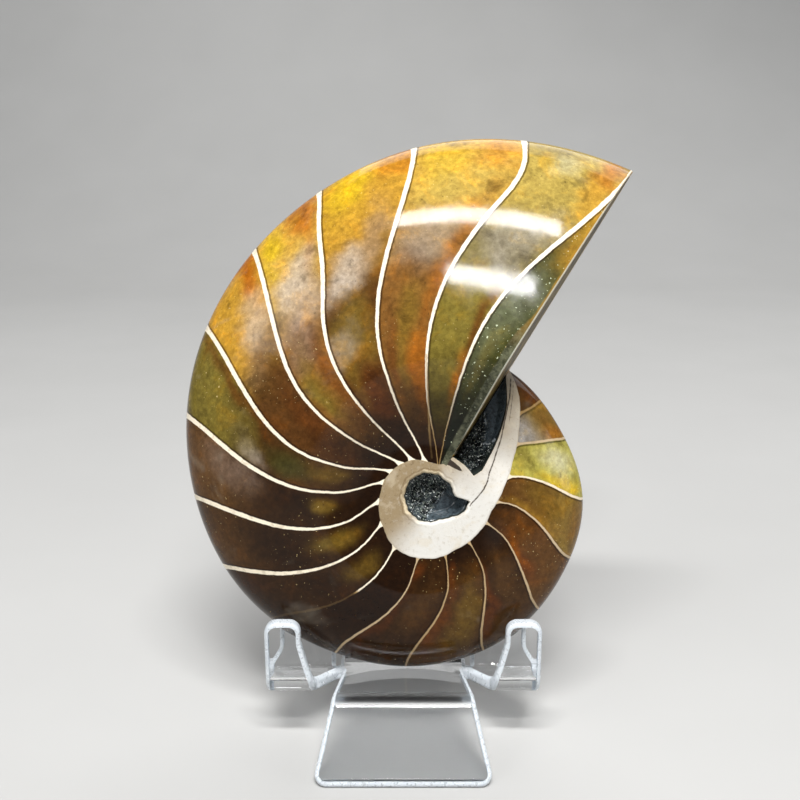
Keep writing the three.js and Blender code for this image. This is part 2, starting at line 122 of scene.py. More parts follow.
# The septa seen on the sawn back: how far they bow and lean back, and their spacing in the inner turns, in
# degrees.
SEPTUM_BOW, SEPTUM_SWEEP, INNER_SPACING = 11, 9, 19.5
BAND_R = [7.1, 7.2, 8.8, 9.8, 10.2, 10.8, 11.4, 11.0, 10.3, 10.7, 12.2, 17.8, 29.5]
# The crack in the band, from the hollow's point up to the mouth, as (degrees, radius).
CRACK = [(352, 7.1), (356.6, 7.4), (364, 8.4), (372.7, 9.9), (379.5, 11), (386.2, 12.0), (390.7, 13.3),
         (395.1, 14.7), (401.6, 17.6), (408.1, 21.1), (412.7, 24.9), (416.5, 28.2)]


def along(values, place):
    """A smooth curve through evenly spaced values; place runs from 0 to the last index."""
    values = np.asarray(values, float)
    place = np.asarray(place, float)
    last = len(values) - 1
    i = np.clip(np.floor(place).astype(int), 0, last - 1)
    t = place - i
    b, c = values[i], values[i + 1]
    a = np.where(i > 0, values[np.maximum(i - 1, 0)], 2 * b - c)
    d = np.where(i + 2 <= last, values[np.minimum(i + 2, last)], 2 * c - b)
    return b + 0.5 * t * (c - a + t * (2 * a - 5 * b + 4 * c - d + t * (3 * (b - c) + d - a)))


def smooth(x):
    t = np.clip(x, 0, 1)
    return t * t * (3 - 2 * t)


def smoother(x):
    t = np.clip(x, 0, 1)
    return t * t * t * (t * (6 * t - 15) + 10)


def mix(a, b, t):
    return a + (b - a) * t


def lattice(ix, iy, iz, seed):
    """A repeatable value between 0 and 1 for each whole-numbered place."""
    mask = np.uint64(0xFFFFFFFF)
    h = (ix.astype(np.int64) * 374761393 + iy.astype(np.int64) * 668265263 + iz.astype(np.int64) * 2147483647
         + seed * 1274126177).astype(np.uint64) & mask
    h = ((h ^ (h >> np.uint64(13))) * np.uint64(1274126177)) & mask
    h = ((h ^ (h >> np.uint64(16))) * np.uint64(2246822519)) & mask
    return (h ^ (h >> np.uint64(15))).astype(float) / float(0xFFFFFFFF)


def cloud(points, size, seed, octaves=3):
    """Smooth noise from -1 to 1 in space; size is the width of its largest lumps."""
    total = np.zeros(len(points))
    weight = 1.0
    for octave in range(octaves):
        p = points / size * 2 ** octave
        cell = np.floor(p).astype(int)
        t = smooth(p - cell)
        value = np.zeros(len(points))
        for dx in (0, 1):
            for dy in (0, 1):
                for dz in (0, 1):
                    share = (np.where(dx, t[:, 0], 1 - t[:, 0]) * np.where(dy, t[:, 1], 1 - t[:, 1])
                             * np.where(dz, t[:, 2], 1 - t[:, 2]))
                    value += share * lattice(cell[:, 0] + dx, cell[:, 1] + dy, cell[:, 2] + dz, seed + octave)
        total += weight * (2 * value - 1)
        weight *= 0.5
    return total


def part_frame(u, v, w):
    """Millimetres from the leaning plane about the coil's axis to the whole object's own frame."""
    return np.stack([
        u + COIL_U + MIDDLE[0],
        v * math.sin(LEAN) - w * math.cos(LEAN) + SEAT_GAP * math.tan(LEAN)
        + COIL_ABOVE_SEAT * math.sin(LEAN) + MIDDLE[1],
        v * math.cos(LEAN) + w * math.sin(LEAN) + LEDGE_TOP + SEAT_GAP + COIL_ABOVE_SEAT * math.cos(LEAN),
    ], -1)


class Spokes:
    """What each direction of the coil needs; turn runs from 0 at the mouth to 1 after a whole turn."""

    def __init__(self, turn):
        turn = np.asarray(turn, float)
        self.turn = turn
        self.degrees = MOUTH_DEG + 360 * turn
        self.angle = np.radians(self.degrees)
        place = turn * (len(RIM_R) - 1)
        self.rim = along(RIM_R, place) - RIM_INSET
        self.shoulder = along(SHOULDER_R, place)
        off = self.degrees - HOLLOW_POINT_DEG
        off = off / np.where(off < 0, *HOLLOW_POINT_SPREAD)
        swell = HOLLOW_SWELL * np.cos(np.radians(self.degrees - HOLLOW_SWELL_DEG))
        self.hollow = HOLLOW_R + swell + HOLLOW_POINT * np.exp(-off * off)
        grown = (self.degrees - POCKET_START_DEG) / (MOUTH_DEG + 360 - POCKET_START_DEG)
        self.pocket_inner = np.maximum(POCKET_INNER_R, self.shoulder + 0.4)
        outer = mix(POCKET_OUTER_R[0], POCKET_OUTER_R[1], np.maximum(0, grown) ** POCKET_GROWTH)
        self.pocket_outer = np.maximum(self.pocket_inner + 1, outer)
        self.pocket_open = smooth(9 * grown)
        self.bulge = BULGE_PER_RIM * self.rim

    def columns(self):
        """The same with each value as a column, to meet a row of radii."""
        made = object.__new__(Spokes)
        made.__dict__ = {key: value[:, None] for key, value in self.__dict__.items()}
        return made

    def ring_height(self, r):
        return RING_HEIGHT + RING_TILT * r * np.sin(self.angle)

    def flank_height(self, r):
        out = np.clip((r - self.shoulder) / (self.rim - self.shoulder), 0, 1)
        start = self.ring_height(self.shoulder) - EDGE_HEIGHT
        full = mix(start, self.bulge, smoother(out / BULGE_REACH))
        return EDGE_HEIGHT + full * np.sqrt(1 - out * out)

    def outside_height(self, r):
        return np.where(r <= self.shoulder, self.ring_height(r), self.flank_height(r))

    def plane(self, r, w):
        """Plane coordinates; near the mouth a point moves round with its height, so that the cut leans."""
        after = smooth((self.degrees - MOUTH_DEG) / MOUTH_TILT_REACH["outer"])
        before = smooth((MOUTH_DEG + 360 - self.degrees) / MOUTH_TILT_REACH["inner"])
        shift = MOUTH_TILT * w * (2 - after - before) * np.minimum(1, r / SHOULDER_R[0])
        mouth = math.radians(MOUTH_DEG)
        u = r * np.cos(self.angle) - shift * math.sin(mouth)
        return u, r * np.sin(self.angle) + shift * math.cos(mouth)


# Meshes.
def linked(name, data):
    """A new object in the scene."""
    made = bpy.data.objects.new(name, data)
    bpy.context.scene.collection.objects.link(made)
    return made


def new_object(name, vertices, faces, smooth_angle=None):
    """An object from millimetre vertices and faces; edges sharper than the angle stay sharp."""
    mesh = bpy.data.meshes.new(name)
    mesh.from_pydata((np.asarray(vertices) * MM).tolist(), [], [list(map(int, f)) for f in faces])
    mesh.update()
    if smooth_angle is not None:
        mesh.polygons.foreach_set("use_smooth", [True] * len(mesh.polygons))
        mesh.set_sharp_from_angle(angle=math.radians(smooth_angle))
    return linked(name, mesh)


def add_values(mesh, name, values, domain="CORNER"):
    """Numbers or colours that the materials read, one for each corner of each face, or for each point."""
    values = np.asarray(values, np.float32)
    if values.ndim == 1:
        mesh.attributes.new(name, "FLOAT", domain).data.foreach_set("value", values)
        return
    rgba = np.concatenate([values, np.ones((len(values), 1), np.float32)], 1)
    mesh.attributes.new(name, "FLOAT_COLOR", domain).data.foreach_set("color", rgba.ravel())


def welded(points, faces, grain=1e-4):
    """Joins points closer than the grain; says which faces keep an area, and where each point went."""
    keys = np.round(points / grain).astype(np.int64)
    _, first, index = np.unique(keys, axis=0, return_index=True, return_inverse=True)
    index = index.ravel()
    a, b, c = index[faces].T
    return points[first], (a != b) & (b != c) & (c != a), index


# Colours: named pigments, in linear light.
def pigment(code):
    """Linear colour from a six-digit code."""
    parts = np.array([int(code[i:i + 2], 16) for i in (0, 2, 4)]) / 255
    return np.where(parts <= 0.04045, parts / 12.92, ((parts + 0.055) / 1.055) ** 2.4)


PIGMENTS = {
    "soot": "1f140c", "umber": "1f1107", "cocoa": "301d0b", "chestnut": "3c200b", "walnut": "452d13",
    "sienna": "553517", "brown": "5b3d1b", "russet": "61300e", "honey": "7a5325", "reflection_haze": "c2b4a2",
    "bronze": "80672e", "ochre": "7c6122", "olive": "78692b", "moss": "3f401c", "sage": "666a4e",
    "night": "151810", "orange": "ab600f", "amber": "bf9030", "gold": "c49c42", "yellow": "cba81c",
    "straw": "b39a4c", "lime": "a59c48", "milk": "bfba94", "mauve": "8a7464", "slate": "928c84",
}
PIGMENTS = {name: pigment(code) for name, code in PIGMENTS.items()}
PIGMENT_SHARE = 0.8  # the light on the shell is a little stronger than these colours were judged in
# The ground colour of each chamber at the band, at the middle and at the rim.
GROUNDS = [
    ("night", "moss", "amber"),
    ("umber", "olive", "straw"),
    ("umber", "honey", "gold"),
    ("umber", "sienna", "amber"),
    ("umber", "honey", "gold"),
    ("umber", "sienna", "amber"),
    ("umber", "walnut", "olive"),
    ("umber", "cocoa", "brown"),
    ("umber", "cocoa", "walnut"),
    ("umber", "cocoa", "cocoa"),
    ("umber", "umber", "cocoa"),
    ("cocoa", "cocoa", "cocoa"),
    ("umber", "walnut", "walnut"),
    ("umber", "cocoa", "walnut"),
    ("cocoa", "sienna", "brown"),
    ("walnut", "brown", "bronze"),
    ("olive", "lime", "lime"),
    ("slate", "slate", "bronze"),
    ("walnut", "walnut", "walnut"),
]
# The pale haze blotches paint soft reflections of the lamps on the polish, and the mauve ones beside the
# highlights are partly painted reflection too.
# Blotches: (chamber place, share of the flank, reach across in chambers, reach along in shares, pigment,
# strength).
BLOTCHES = [
    (0.6, 0.42, 0.4, 0.16, "sage", 0.75), (0.45, 0.3, 0.2, 0.08, "olive", 0.4),
    (0.5, 0.08, 0.6, 0.12, "night", 0.9), (0.74, 0.74, 0.1, 0.1, "amber", 0.6),
    (1.12, 0.93, 0.14, 0.08, "orange", 0.8), (1.75, 0.95, 0.22, 0.06, "olive", 0.6),
    (1.6, 0.9, 0.14, 0.05, "milk", 0.5), (1.12, 0.82, 0.16, 0.08, "amber", 0.8),
    (1.5, 0.64, 0.5, 0.08, "slate", 0.6), (1.1, 0.4, 0.14, 0.12, "russet", 0.8),
    (1.62, 0.4, 0.3, 0.12, "olive", 0.8), (1.18, 0.26, 0.2, 0.07, "orange", 0.6),
    (1.65, 0.25, 0.25, 0.06, "olive", 0.5), (2.2, 0.95, 0.2, 0.05, "orange", 0.5),
    (2.7, 0.92, 0.25, 0.08, "yellow", 0.5), (2.5, 0.84, 0.4, 0.07, "straw", 0.8),
    (2.6, 0.66, 0.35, 0.07, "slate", 0.5), (2.15, 0.6, 0.12, 0.2, "orange", 0.4),
    (2.45, 0.42, 0.2, 0.1, "ochre", 0.8), (2.2, 0.27, 0.2, 0.1, "orange", 0.6),
    (2.75, 0.35, 0.14, 0.1, "russet", 0.5), (2.5, 0.3, 0.16, 0.06, "ochre", 0.5),
    (3.15, 0.96, 0.18, 0.06, "orange", 0.6), (3.65, 0.92, 0.3, 0.1, "yellow", 0.9),
    (3.45, 0.78, 0.4, 0.1, "amber", 0.6), (3.25, 0.74, 0.16, 0.07, "mauve", 0.5),
    (3.6, 0.66, 0.3, 0.05, "reflection_haze", 0.75), (3.55, 0.53, 0.3, 0.07, "olive", 0.45),
    (3.75, 0.47, 0.25, 0.035, "reflection_haze", 0.45), (3.3, 0.45, 0.25, 0.1, "ochre", 0.6),
    (3.75, 0.4, 0.2, 0.12, "ochre", 0.6), (3.5, 0.26, 0.4, 0.08, "russet", 0.6),
    (4.25, 0.95, 0.2, 0.07, "orange", 0.9), (4.75, 0.93, 0.2, 0.09, "yellow", 0.9),
    (4.2, 0.84, 0.1, 0.1, "orange", 0.5), (4.5, 0.76, 0.4, 0.07, "reflection_haze", 0.7),
    (4.3, 0.66, 0.4, 0.06, "reflection_haze", 0.35), (4.5, 0.56, 0.4, 0.07, "mauve", 0.5),
    (4.68, 0.42, 0.25, 0.12, "ochre", 0.8), (4.75, 0.4, 0.14, 0.08, "olive", 0.5),
    (4.2, 0.4, 0.15, 0.15, "russet", 0.5), (4.4, 0.24, 0.4, 0.08, "chestnut", 0.5),
    (5.2, 0.93, 0.16, 0.09, "orange", 1.0), (5.65, 0.95, 0.26, 0.07, "amber", 0.9),
    (5.3, 0.8, 0.25, 0.07, "reflection_haze", 0.4), (5.5, 0.72, 0.4, 0.08, "mauve", 0.35),
    (5.5, 0.6, 0.4, 0.12, "brown", 0.5), (5.3, 0.4, 0.2, 0.12, "russet", 0.4),
    (5.6, 0.28, 0.3, 0.1, "chestnut", 0.6), (6.15, 0.8, 0.1, 0.25, "russet", 0.7),
    (6.6, 0.88, 0.35, 0.12, "olive", 0.7), (6.5, 0.66, 0.3, 0.1, "olive", 0.4),
    (6.75, 0.62, 0.2, 0.08, "reflection_haze", 0.35), (6.5, 0.42, 0.3, 0.1, "moss", 0.7),
    (6.35, 0.26, 0.25, 0.07, "ochre", 0.4), (7.2, 0.72, 0.3, 0.15, "mauve", 0.45),
    (7.4, 0.4, 0.4, 0.12, "umber", 0.7), (7.45, 0.28, 0.2, 0.06, "ochre", 0.8),
    (8.5, 0.92, 0.4, 0.08, "brown", 0.4), (8.5, 0.58, 0.5, 0.14, "umber", 0.6),
    (8.45, 0.27, 0.26, 0.12, "ochre", 0.45), (8.4, 0.3, 0.16, 0.08, "olive", 0.25),
    (9.55, 0.26, 0.3, 0.11, "ochre", 0.4), (9.5, 0.5, 0.5, 0.1, "umber", 0.6),
    (9.2, 0.9, 0.3, 0.1, "chestnut", 0.5), (10.5, 0.55, 0.5, 0.3, "umber", 0.6),
    (11.12, 0.13, 0.14, 0.07, "russet", 0.7), (11.6, 0.45, 0.3, 0.2, "brown", 0.4),
    (11.1, 0.6, 0.12, 0.3, "russet", 0.3), (12.15, 0.55, 0.14, 0.3, "russet", 0.5),
    (12.65, 0.6, 0.25, 0.25, "ochre", 0.45), (12.15, 0.2, 0.12, 0.1, "russet", 0.4),
    (13.12, 0.6, 0.14, 0.3, "russet", 0.6), (13.6, 0.5, 0.3, 0.2, "brown", 0.5),
    (13.9, 0.18, 0.16, 0.14, "soot", 0.7), (14.12, 0.5, 0.18, 0.22, "russet", 0.7),
    (14.15, 0.45, 0.1, 0.14, "orange", 0.25), (14.6, 0.65, 0.3, 0.2, "brown", 0.5),
    (14.85, 0.2, 0.16, 0.12, "soot", 0.7), (15.12, 0.5, 0.16, 0.25, "amber", 0.35),
    (15.6, 0.6, 0.35, 0.2, "ochre", 0.5), (15.5, 0.93, 0.5, 0.09, "russet", 0.35),
    (16.15, 0.8, 0.12, 0.2, "yellow", 0.75), (16.6, 0.8, 0.3, 0.14, "milk", 0.75),
    (16.6, 0.5, 0.4, 0.1, "olive", 0.6), (17.2, 0.9, 0.2, 0.1, "orange", 0.5),
    (17.6, 0.92, 0.3, 0.1, "russet", 0.4), (17.5, 0.62, 0.5, 0.1, "slate", 0.7),
    (18.4, 0.8, 0.5, 0.2, "brown", 0.7), (18.3, 0.95, 0.3, 0.06, "russet", 0.4),
]


def suture_angles(share):
    """Every suture's angle at these shares of the flank, and one more before the first and after the last."""
    lines = []
    for rim_angle, sweep, hook, _ in SUTURES:
        fall = 0.5 * (1 + np.cos(np.pi * np.clip((share - 0.2) / 0.8, 0, 1)))
        lines.append(rim_angle + sweep * fall - hook * np.maximum(0, 1 - share / 0.2) ** 2)
    lines = np.stack(lines, 1)
    spacing = np.gradient(lines, axis=1)
    for k, (_, _, _, bends) in enumerate(SUTURES):
        eased = [np.interp(share + step, SUTURE_SHARES, bends) for step in SUTURE_EASING]
        bend = sum(eased) / len(SUTURE_EASING)
        lines[:, k] += bend / 100 * spacing[:, k]
    return np.concatenate([lines[:, :1] - spacing[:, :1], lines, lines[:, -1:] + spacing[:, -1:]], 1)


def chamber_place(degrees, share):
    """Which chamber a point is in: whole numbers at the sutures, running smoothly between them."""
    knots = suture_angles(share)
    rows = np.arange(len(knots))
    i = np.clip((knots < degrees[:, None]).sum(1) - 1, 0, knots.shape[1] - 2)
    slope = 1 / np.diff(knots, axis=1)
    inner = 2 * slope[:, :-1] * slope[:, 1:] / (slope[:, :-1] + slope[:, 1:])
    bend = np.concatenate([slope[:, :1], inner, slope[:, -1:]], 1)
    h = knots[rows, i + 1] - knots[rows, i]
    t = (degrees - knots[rows, i]) / h
    m0, m1 = bend[rows, i] * h, bend[rows, i + 1] * h
    t2, t3 = t * t, t * t * t
    return i + (t3 - 2 * t2 + t) * m0 + (-2 * t3 + 3 * t2) + (t3 - t2) * m1


def paint_chambers(place, share, points):
    """The chambers' colours, with clouded edges; some blotches among them are painted soft reflections."""
    k = np.clip(np.floor(place).astype(int), 0, len(GROUNDS) - 1)
    place = place + 0.13 * cloud(points, 5, 11, 4)
    share = np.clip(share + 0.045 * cloud(points, 6, 12, 4), 0, 1)
    grounds = np.array([[PIGMENTS[name] for name in names] for names in GROUNDS])
    near, middle, far = grounds[k, 0], grounds[k, 1], grounds[k, 2]
    low = smooth((share - 0.04) / 0.32)[:, None]
    high = smooth((share - 0.55) / 0.33)[:, None]
    colour = mix(mix(near, middle, low), far, high)
    for at, along_share, across, reach, name, strength in BLOTCHES:
        same = (k == math.floor(at))
        d2 = ((place - at) / across) ** 2 + ((share - along_share) / reach) ** 2
        weight = (same * strength * np.exp(-0.9 * d2 * np.maximum(0.6, d2 ** 0.5)))[:, None]
        colour = mix(colour, PIGMENTS[name], weight)
    return PIGMENT_SHARE * colour


def distance_to_line(x, y, line):
    best = np.full(x.shape, 1e9)
    for (ax, ay), (bx, by) in zip(line[:-1], line[1:]):
        lx, ly = bx - ax, by - ay
        t = np.clip(((x - ax) * lx + (y - ay) * ly) / (lx * lx + ly * ly), 0, 1)
        best = np.minimum(best, np.hypot(x - ax - t * lx, y - ay - t * ly))
    return best


TURN_STEPS = 400
FLANK_POINTS = 84
BACK_ROWS = {"outer": 22, "inner": 34}
BACK_CORE = 0.05  # how small the innermost turn of the back is, as a share of the outer one
TURN_GROWTH = RIM_R[0] / RIM_R[-1]


def row(count, start=0):
    """Shares from 0 to 1 as a row, in count steps; start leaves out the first ones."""
    return np.linspace(0, 1, count + 1)[None, start:]


def mouth_rounding(distance):
    """How much lower the surface lies this near to the mouth's rounded edge."""
    inside = np.maximum(0, MOUTH_EDGE_R - distance)
    return MOUTH_EDGE_R - np.sqrt(np.maximum(0, MOUTH_EDGE_R ** 2 - inside ** 2))


def grid_triangles(index, turned=False):
    """Two triangles for each cell of a grid of point numbers; turned ones face the other way."""
    a, b, c, d = index[:-1, :-1], index[:-1, 1:], index[1:, 1:], index[1:, :-1]
    if turned:
        b, d = d, b
    return np.concatenate([np.stack(corners, -1).reshape(-1, 3) for corners in ((a, b, c), (a, c, d))])


def shell_half():
    """Points, triangles, the values of their corners and the masks of their zones."""
    near_cut = np.array([0.00014, 0.00035, 0.0008, 0.0015])
    turn = np.concatenate([[0], near_cut, np.arange(1, TURN_STEPS) / TURN_STEPS, 1 - near_cut[::-1], [1]])
    base = Spokes(turn)
    s = base.columns()
    one = np.ones_like(s.rim)
    radii, heights, parts = [], [], []

    def zone(name, r, w):
        radii.append(r * one)
        heights.append(w + 0 * radii[-1])
        parts.extend([name] * radii[-1].shape[1])

    def sunk(r, share):
        return mix(s.outside_height(r), POCKET_FLOOR, s.pocket_open * share)

    waves = ((0.02, 3, 1), (0.014, 11, 0), (0.01, 23, 2))
    hollow = s.hollow * (1 + sum(reach * np.sin(times * s.angle + start) for reach, times, start in waves))
    floor = RING_HEIGHT - HOLLOW_DEPTH
    r = HOLLOW_FLOOR_SHARE * hollow * row(6)
    zone("hollow", r, floor + HOLLOW_FLOOR_RISE * smooth((r / hollow - 0.5) / (HOLLOW_FLOOR_SHARE - 0.5)))
    t = row(6, 1)
    start, end = HOLLOW_FLOOR_SHARE * hollow, hollow - LIP
    foot, top = floor + HOLLOW_FLOOR_RISE, s.ring_height(hollow) - 3 * LIP
    zone("hollow", mix(start, end, t), mix(foot, top, t))
    t = row(4, 1)
    turned = 0.5 * np.pi * t
    zone("lip", end + 2 * LIP * (1 - np.cos(turned)), top + 3 * LIP * np.sin(turned))
    t = row(14, 1)
    r = mix(hollow + LIP, s.shoulder, t)
    zone("ring", r, s.ring_height(r))
    t = row(4, 1)
    r = mix(s.shoulder, s.pocket_inner, t)
    zone("flank", r, s.outside_height(r))
    wall = np.maximum(0.12, POCKET_WALL * s.pocket_open)
    t = row(4, 1)
    r = s.pocket_inner + wall * t
    zone("pocket", r, sunk(r, smooth(t)))
    r = mix(s.pocket_inner + wall, s.pocket_outer - wall, row(9, 1))
    zone("pocket", r, sunk(r, 1))
    r = s.pocket_outer - wall * (1 - t)
    zone("pocket", r, sunk(r, smooth(1 - t)))
    t = row(FLANK_POINTS, 1)
    first = np.arcsin((s.pocket_outer - s.shoulder) / (s.rim - s.shoulder))
    r = s.shoulder + (s.rim - s.shoulder) * np.sin(mix(first, 0.5 * np.pi, t))
    zone("flank", r, s.flank_height(r))
    turned = 0.5 * np.pi * row(7, 1)
    zone("edge", s.rim - EDGE_ROUND * (1 - np.cos(turned)), EDGE_HEIGHT * (1 - np.sin(turned)))
    back_edge = s.rim - EDGE_ROUND
    end_radius = base.rim[-1] - EDGE_ROUND
    share = mix(0.97, 1, smooth((s.turn - 0.93) / 0.07))
    inner_edge = np.minimum(end_radius, share * back_edge)
    zone("back", mix(back_edge, inner_edge, row(BACK_ROWS["outer"], 1)), 0)
    zone("back", inner_edge * BACK_CORE ** row(BACK_ROWS["inner"], 1), 0)
    zone("back", inner_edge * BACK_CORE * (1 - row(3, 1)), 0)

    r, w = np.concatenate(radii, 1), np.concatenate(heights, 1)
    parts = np.array(parts)
    from_cut = r * np.radians(s.degrees - MOUTH_DEG)
    from_end = r * np.radians(MOUTH_DEG + 360 - s.degrees)
    outside = np.isin(parts, ["flank", "edge"]) * smooth((r - s.shoulder) / 3)
    lower = outside * (mouth_rounding(from_cut) + mouth_rounding(from_end))
    w = np.maximum(0, w - np.minimum(0.8 * w, lower))
    u, v = s.plane(r, w)
    count, across = r.shape
    points = np.stack([u, v, w], -1).reshape(-1, 3)
    index = np.arange(count * across).reshape(count, across)
    faces = grid_triangles(index)

    # What the markings need at each point.
    degrees = np.broadcast_to(s.degrees, r.shape).ravel()
    radius = r.ravel()
    share = np.clip((r - s.shoulder) / (s.rim - s.shoulder), 0, 1).ravel()
    place = chamber_place(degrees, share)
    pitch = distance_per_unit(place.reshape(count, across), np.stack([u, v, w], -1)).ravel()
    band_edge = radius - along(BAND_R, (degrees - MOUTH_DEG) / 30) + 0.2 * cloud(points, 2.6, 21)
    tone, half, flare = suture_look(place, share, degrees)
    half = half + flare * np.exp(-np.maximum(0, band_edge) / SUTURE_FLARE_REACH)

    def from_line(line):
        return distance_to_line(points[:, 0], points[:, 1], polar_line(line))

    wedge = np.clip((degrees - NOTCH["tip_deg"]) / (MOUTH_DEG + 360 - NOTCH["tip_deg"]), -1, 1)
    whorl = np.log(np.broadcast_to(s.rim, r.shape).ravel() / np.maximum(radius, 0.4)) / math.log(TURN_GROWTH)
    # Painted shade: a share, highest on the band's upper left, that turns the band darker and tan there as if
    # it lay in shade.
    shade = 0.5 + 0.9 * np.cos(np.radians(degrees - BAND_SHADE_DEG)) + 0.25 * cloud(points, 9, 31)
    values = {
        "chamber": place,
        "pitch": pitch,
        "line_half": half,
        "line_tone": tone,
        "branch": from_line(BRANCH),
        "scratch": np.min([from_line(line) for line in SCRATCHES], axis=0),
        "band_edge": band_edge,
        "band_shade": smooth(shade),
        "crack": from_line(CRACK),
        "second_crack": from_line(SECOND_CRACK),
        "notch": np.abs(radius - NOTCH["r"]) - NOTCH["half"] * wedge,
        "share": share,
        "from_cut": from_cut.ravel(),
        "pigment": paint_chambers(place, share, points),
        "lip": radius - np.broadcast_to(hollow, r.shape).ravel(),
        "depth": (s.outside_height(r) - w).ravel(),
        "degrees": degrees,
        "radius": radius,
        "whorl": whorl,
        "back_chamber": back_chamber(degrees, whorl),
    }
    masks = {name: np.tile(parts[1:] == name, 2 * (count - 1)) for name in ("hollow", "pocket", "back")}
    first_column, last_column = index[0], index[-1]
    ring_end = int(np.flatnonzero(parts == "ring")[-1])
    back_start = int(np.flatnonzero(parts == "back")[0]) - 1
    inner_start = len(parts) - BACK_ROWS["inner"] - 4
    returning = last_column[ring_end + 1:back_start + 1][::-1]
    loop = np.concatenate([first_column[ring_end:inner_start], returning])
    points, kept, joined = welded(points, faces)
    corners = {name: value[faces[kept]] for name, value in values.items()}
    masks = {name: mask[kept] for name, mask in masks.items()}
    faces = joined[faces[kept]]
    loop = joined[loop]
    loop = loop[np.append(True, loop[1:] != loop[:-1])]
    points, wall, edge, height = mouth_face(points, loop)
    for name, value in corners.items():
        corners[name] = np.concatenate([value, np.zeros((len(wall),) + value.shape[1:])])
    corners["lip"][len(faces):] = edge
    corners["depth"][len(faces):] = height
    masks = {name: np.append(mask, np.zeros(len(wall), bool)) for name, mask in masks.items()}
    masks["mouth"] = np.append(np.zeros(len(faces), bool), np.ones(len(wall), bool))
    return points, np.concatenate([faces, wall]), corners, masks


def distance_per_unit(field, place):
    """How far apart whole numbers of a field lie on the surface, in millimetres."""
    du, dv = np.gradient(field)
    tu, tv = np.gradient(place, axis=(0, 1))
    guu, gvv, guv = (tu * tu).sum(-1), (tv * tv).sum(-1), (tu * tv).sum(-1)
    det = np.maximum(guu * gvv - guv * guv, 1e-9)
    slope = np.sqrt(np.maximum((du * du * gvv - 2 * du * dv * guv + dv * dv * guu) / det, 1e-12))
    return np.clip(1 / slope, 0.05, 40)


def polar_line(line):
    return [(q * math.cos(math.radians(p)), q * math.sin(math.radians(p))) for p, q in line]


def suture_look(place, share, degrees):
    """How pale the nearest suture is, and half its width."""
    k = np.round(place).astype(int) - 1
    real = (k >= 0) & (k < len(SUTURE_TONES))
    k = np.clip(k, 0, len(SUTURE_TONES) - 1)
    tone = np.array(SUTURE_TONES)[k] * real
    faded = mix(tone, 0.1, smooth((share - FADED_FROM) / 0.08))
    tone = np.where((k == FADED_SUTURE) & (share > FADED_FROM), faded, tone)
    tone = np.where(k < 2, tone * mix(0.3, 1, smooth((share - 0.04) / 0.25)), tone)
    half = mix(SUTURE_HALF["root"], SUTURE_HALF["rim"], smooth(share / 0.9))
    half = half * mix(1, SUTURE_HALF["late"], smooth((degrees - 190) / 60))
    half = np.where(k < 2, half * mix(0.5, 1, smooth(share / 0.35)), half)
    knob = SUTURE_KNOB * np.exp(-((1 - share) / 0.03) ** 2) * (k < FADED_SUTURE)
    flare = SUTURE_FLARE * (k > 1) * np.clip(1.3 * tone, 0, 1)
    return tone, half * mix(0.7, 1, np.clip(tone * 1.6, 0, 1)) + knob, flare


def back_chamber(degrees, whorl):
    """The chamber of a point of the back: the septa meet the flank's lines at the rim and bow inwards."""
    knots = [rim_angle for rim_angle, _, _, _ in SUTURES]
    last = len(knots)
    across = np.clip(whorl, 0, 1.2)
    seen = degrees - 4 * SEPTUM_BOW * across * (1 - across) - SEPTUM_SWEEP * across
    number = np.interp(seen, knots, np.arange(1, last + 1))
    number = np.where(seen < knots[0], 1 + (seen - knots[0]) / INNER_SPACING, number)
    return np.where(seen > knots[-1], last + (seen - knots[-1]) / INNER_SPACING, number)


def mouth_face(points, loop):
    """Closes the cut at the mouth with a flat face; says how far its corners are from the edge, how high."""
    mouth = math.radians(MOUTH_DEG)
    outward = np.array([math.cos(mouth), math.sin(mouth), 0])
    flat = np.stack([points[loop] @ outward, points[loop, 2]], 1)
    low, high = flat.min(0), flat.max(0)
    grid = [np.arange(low[i] + 0.35, high[i], 0.7) for i in (0, 1)]
    inside = np.stack(np.meshgrid(*grid, indexing="ij"), -1).reshape(-1, 2)
    outline = [tuple(p) for p in flat] + [tuple(flat[0])]
    inside = inside[distance_to_line(inside[:, 0], inside[:, 1], outline) > 0.3]
    coords = [Vector(p) for p in flat] + [Vector(p) for p in inside]
    n = len(flat)
    made = geometry.delaunay_2d_cdt(coords, [], [list(range(n))], 1, 1e-7)
    tilt = np.array([-math.sin(mouth), math.cos(mouth), 0]) * MOUTH_TILT
    new_index, extra = [], []
    for i, source in enumerate(made[3]):
        known = [q for q in source if q < n]
        if known:
            new_index.append(int(loop[known[0]]))
            continue
        q = made[0][i]
        new_index.append(len(points) + len(extra))
        extra.append(q[0] * outward + q[1] * tilt + np.array([0, 0, q[1]]))
    places = np.array([tuple(q) for q in made[0]])
    gap = distance_to_line(places[:, 0], places[:, 1], outline)
    corner = np.array([list(f) for f in made[2]])
    wall = np.array(new_index)[corner]
    points = np.concatenate([points, np.array(extra)])
    p = points[wall[0]]
    away = np.array([math.sin(mouth), -math.cos(mouth), 0])
    if np.cross(p[1] - p[0], p[2] - p[0]) @ away < 0:
        wall, corner = wall[:, ::-1], corner[:, ::-1]
    return points, wall, gap[corner], places[corner][..., 1]


print("building the shell")
shell_points, shell_faces, shell_corners, shell_masks = shell_half()
shell = new_object("nautilus_half", part_frame(*shell_points.T), shell_faces, smooth_angle=38)
for key, value in shell_corners.items():
    add_values(shell.data, key, value.reshape((-1,) + value.shape[2:]))
for key, mask in shell_masks.items():
    add_values(shell.data, key, np.repeat(mask, 3))


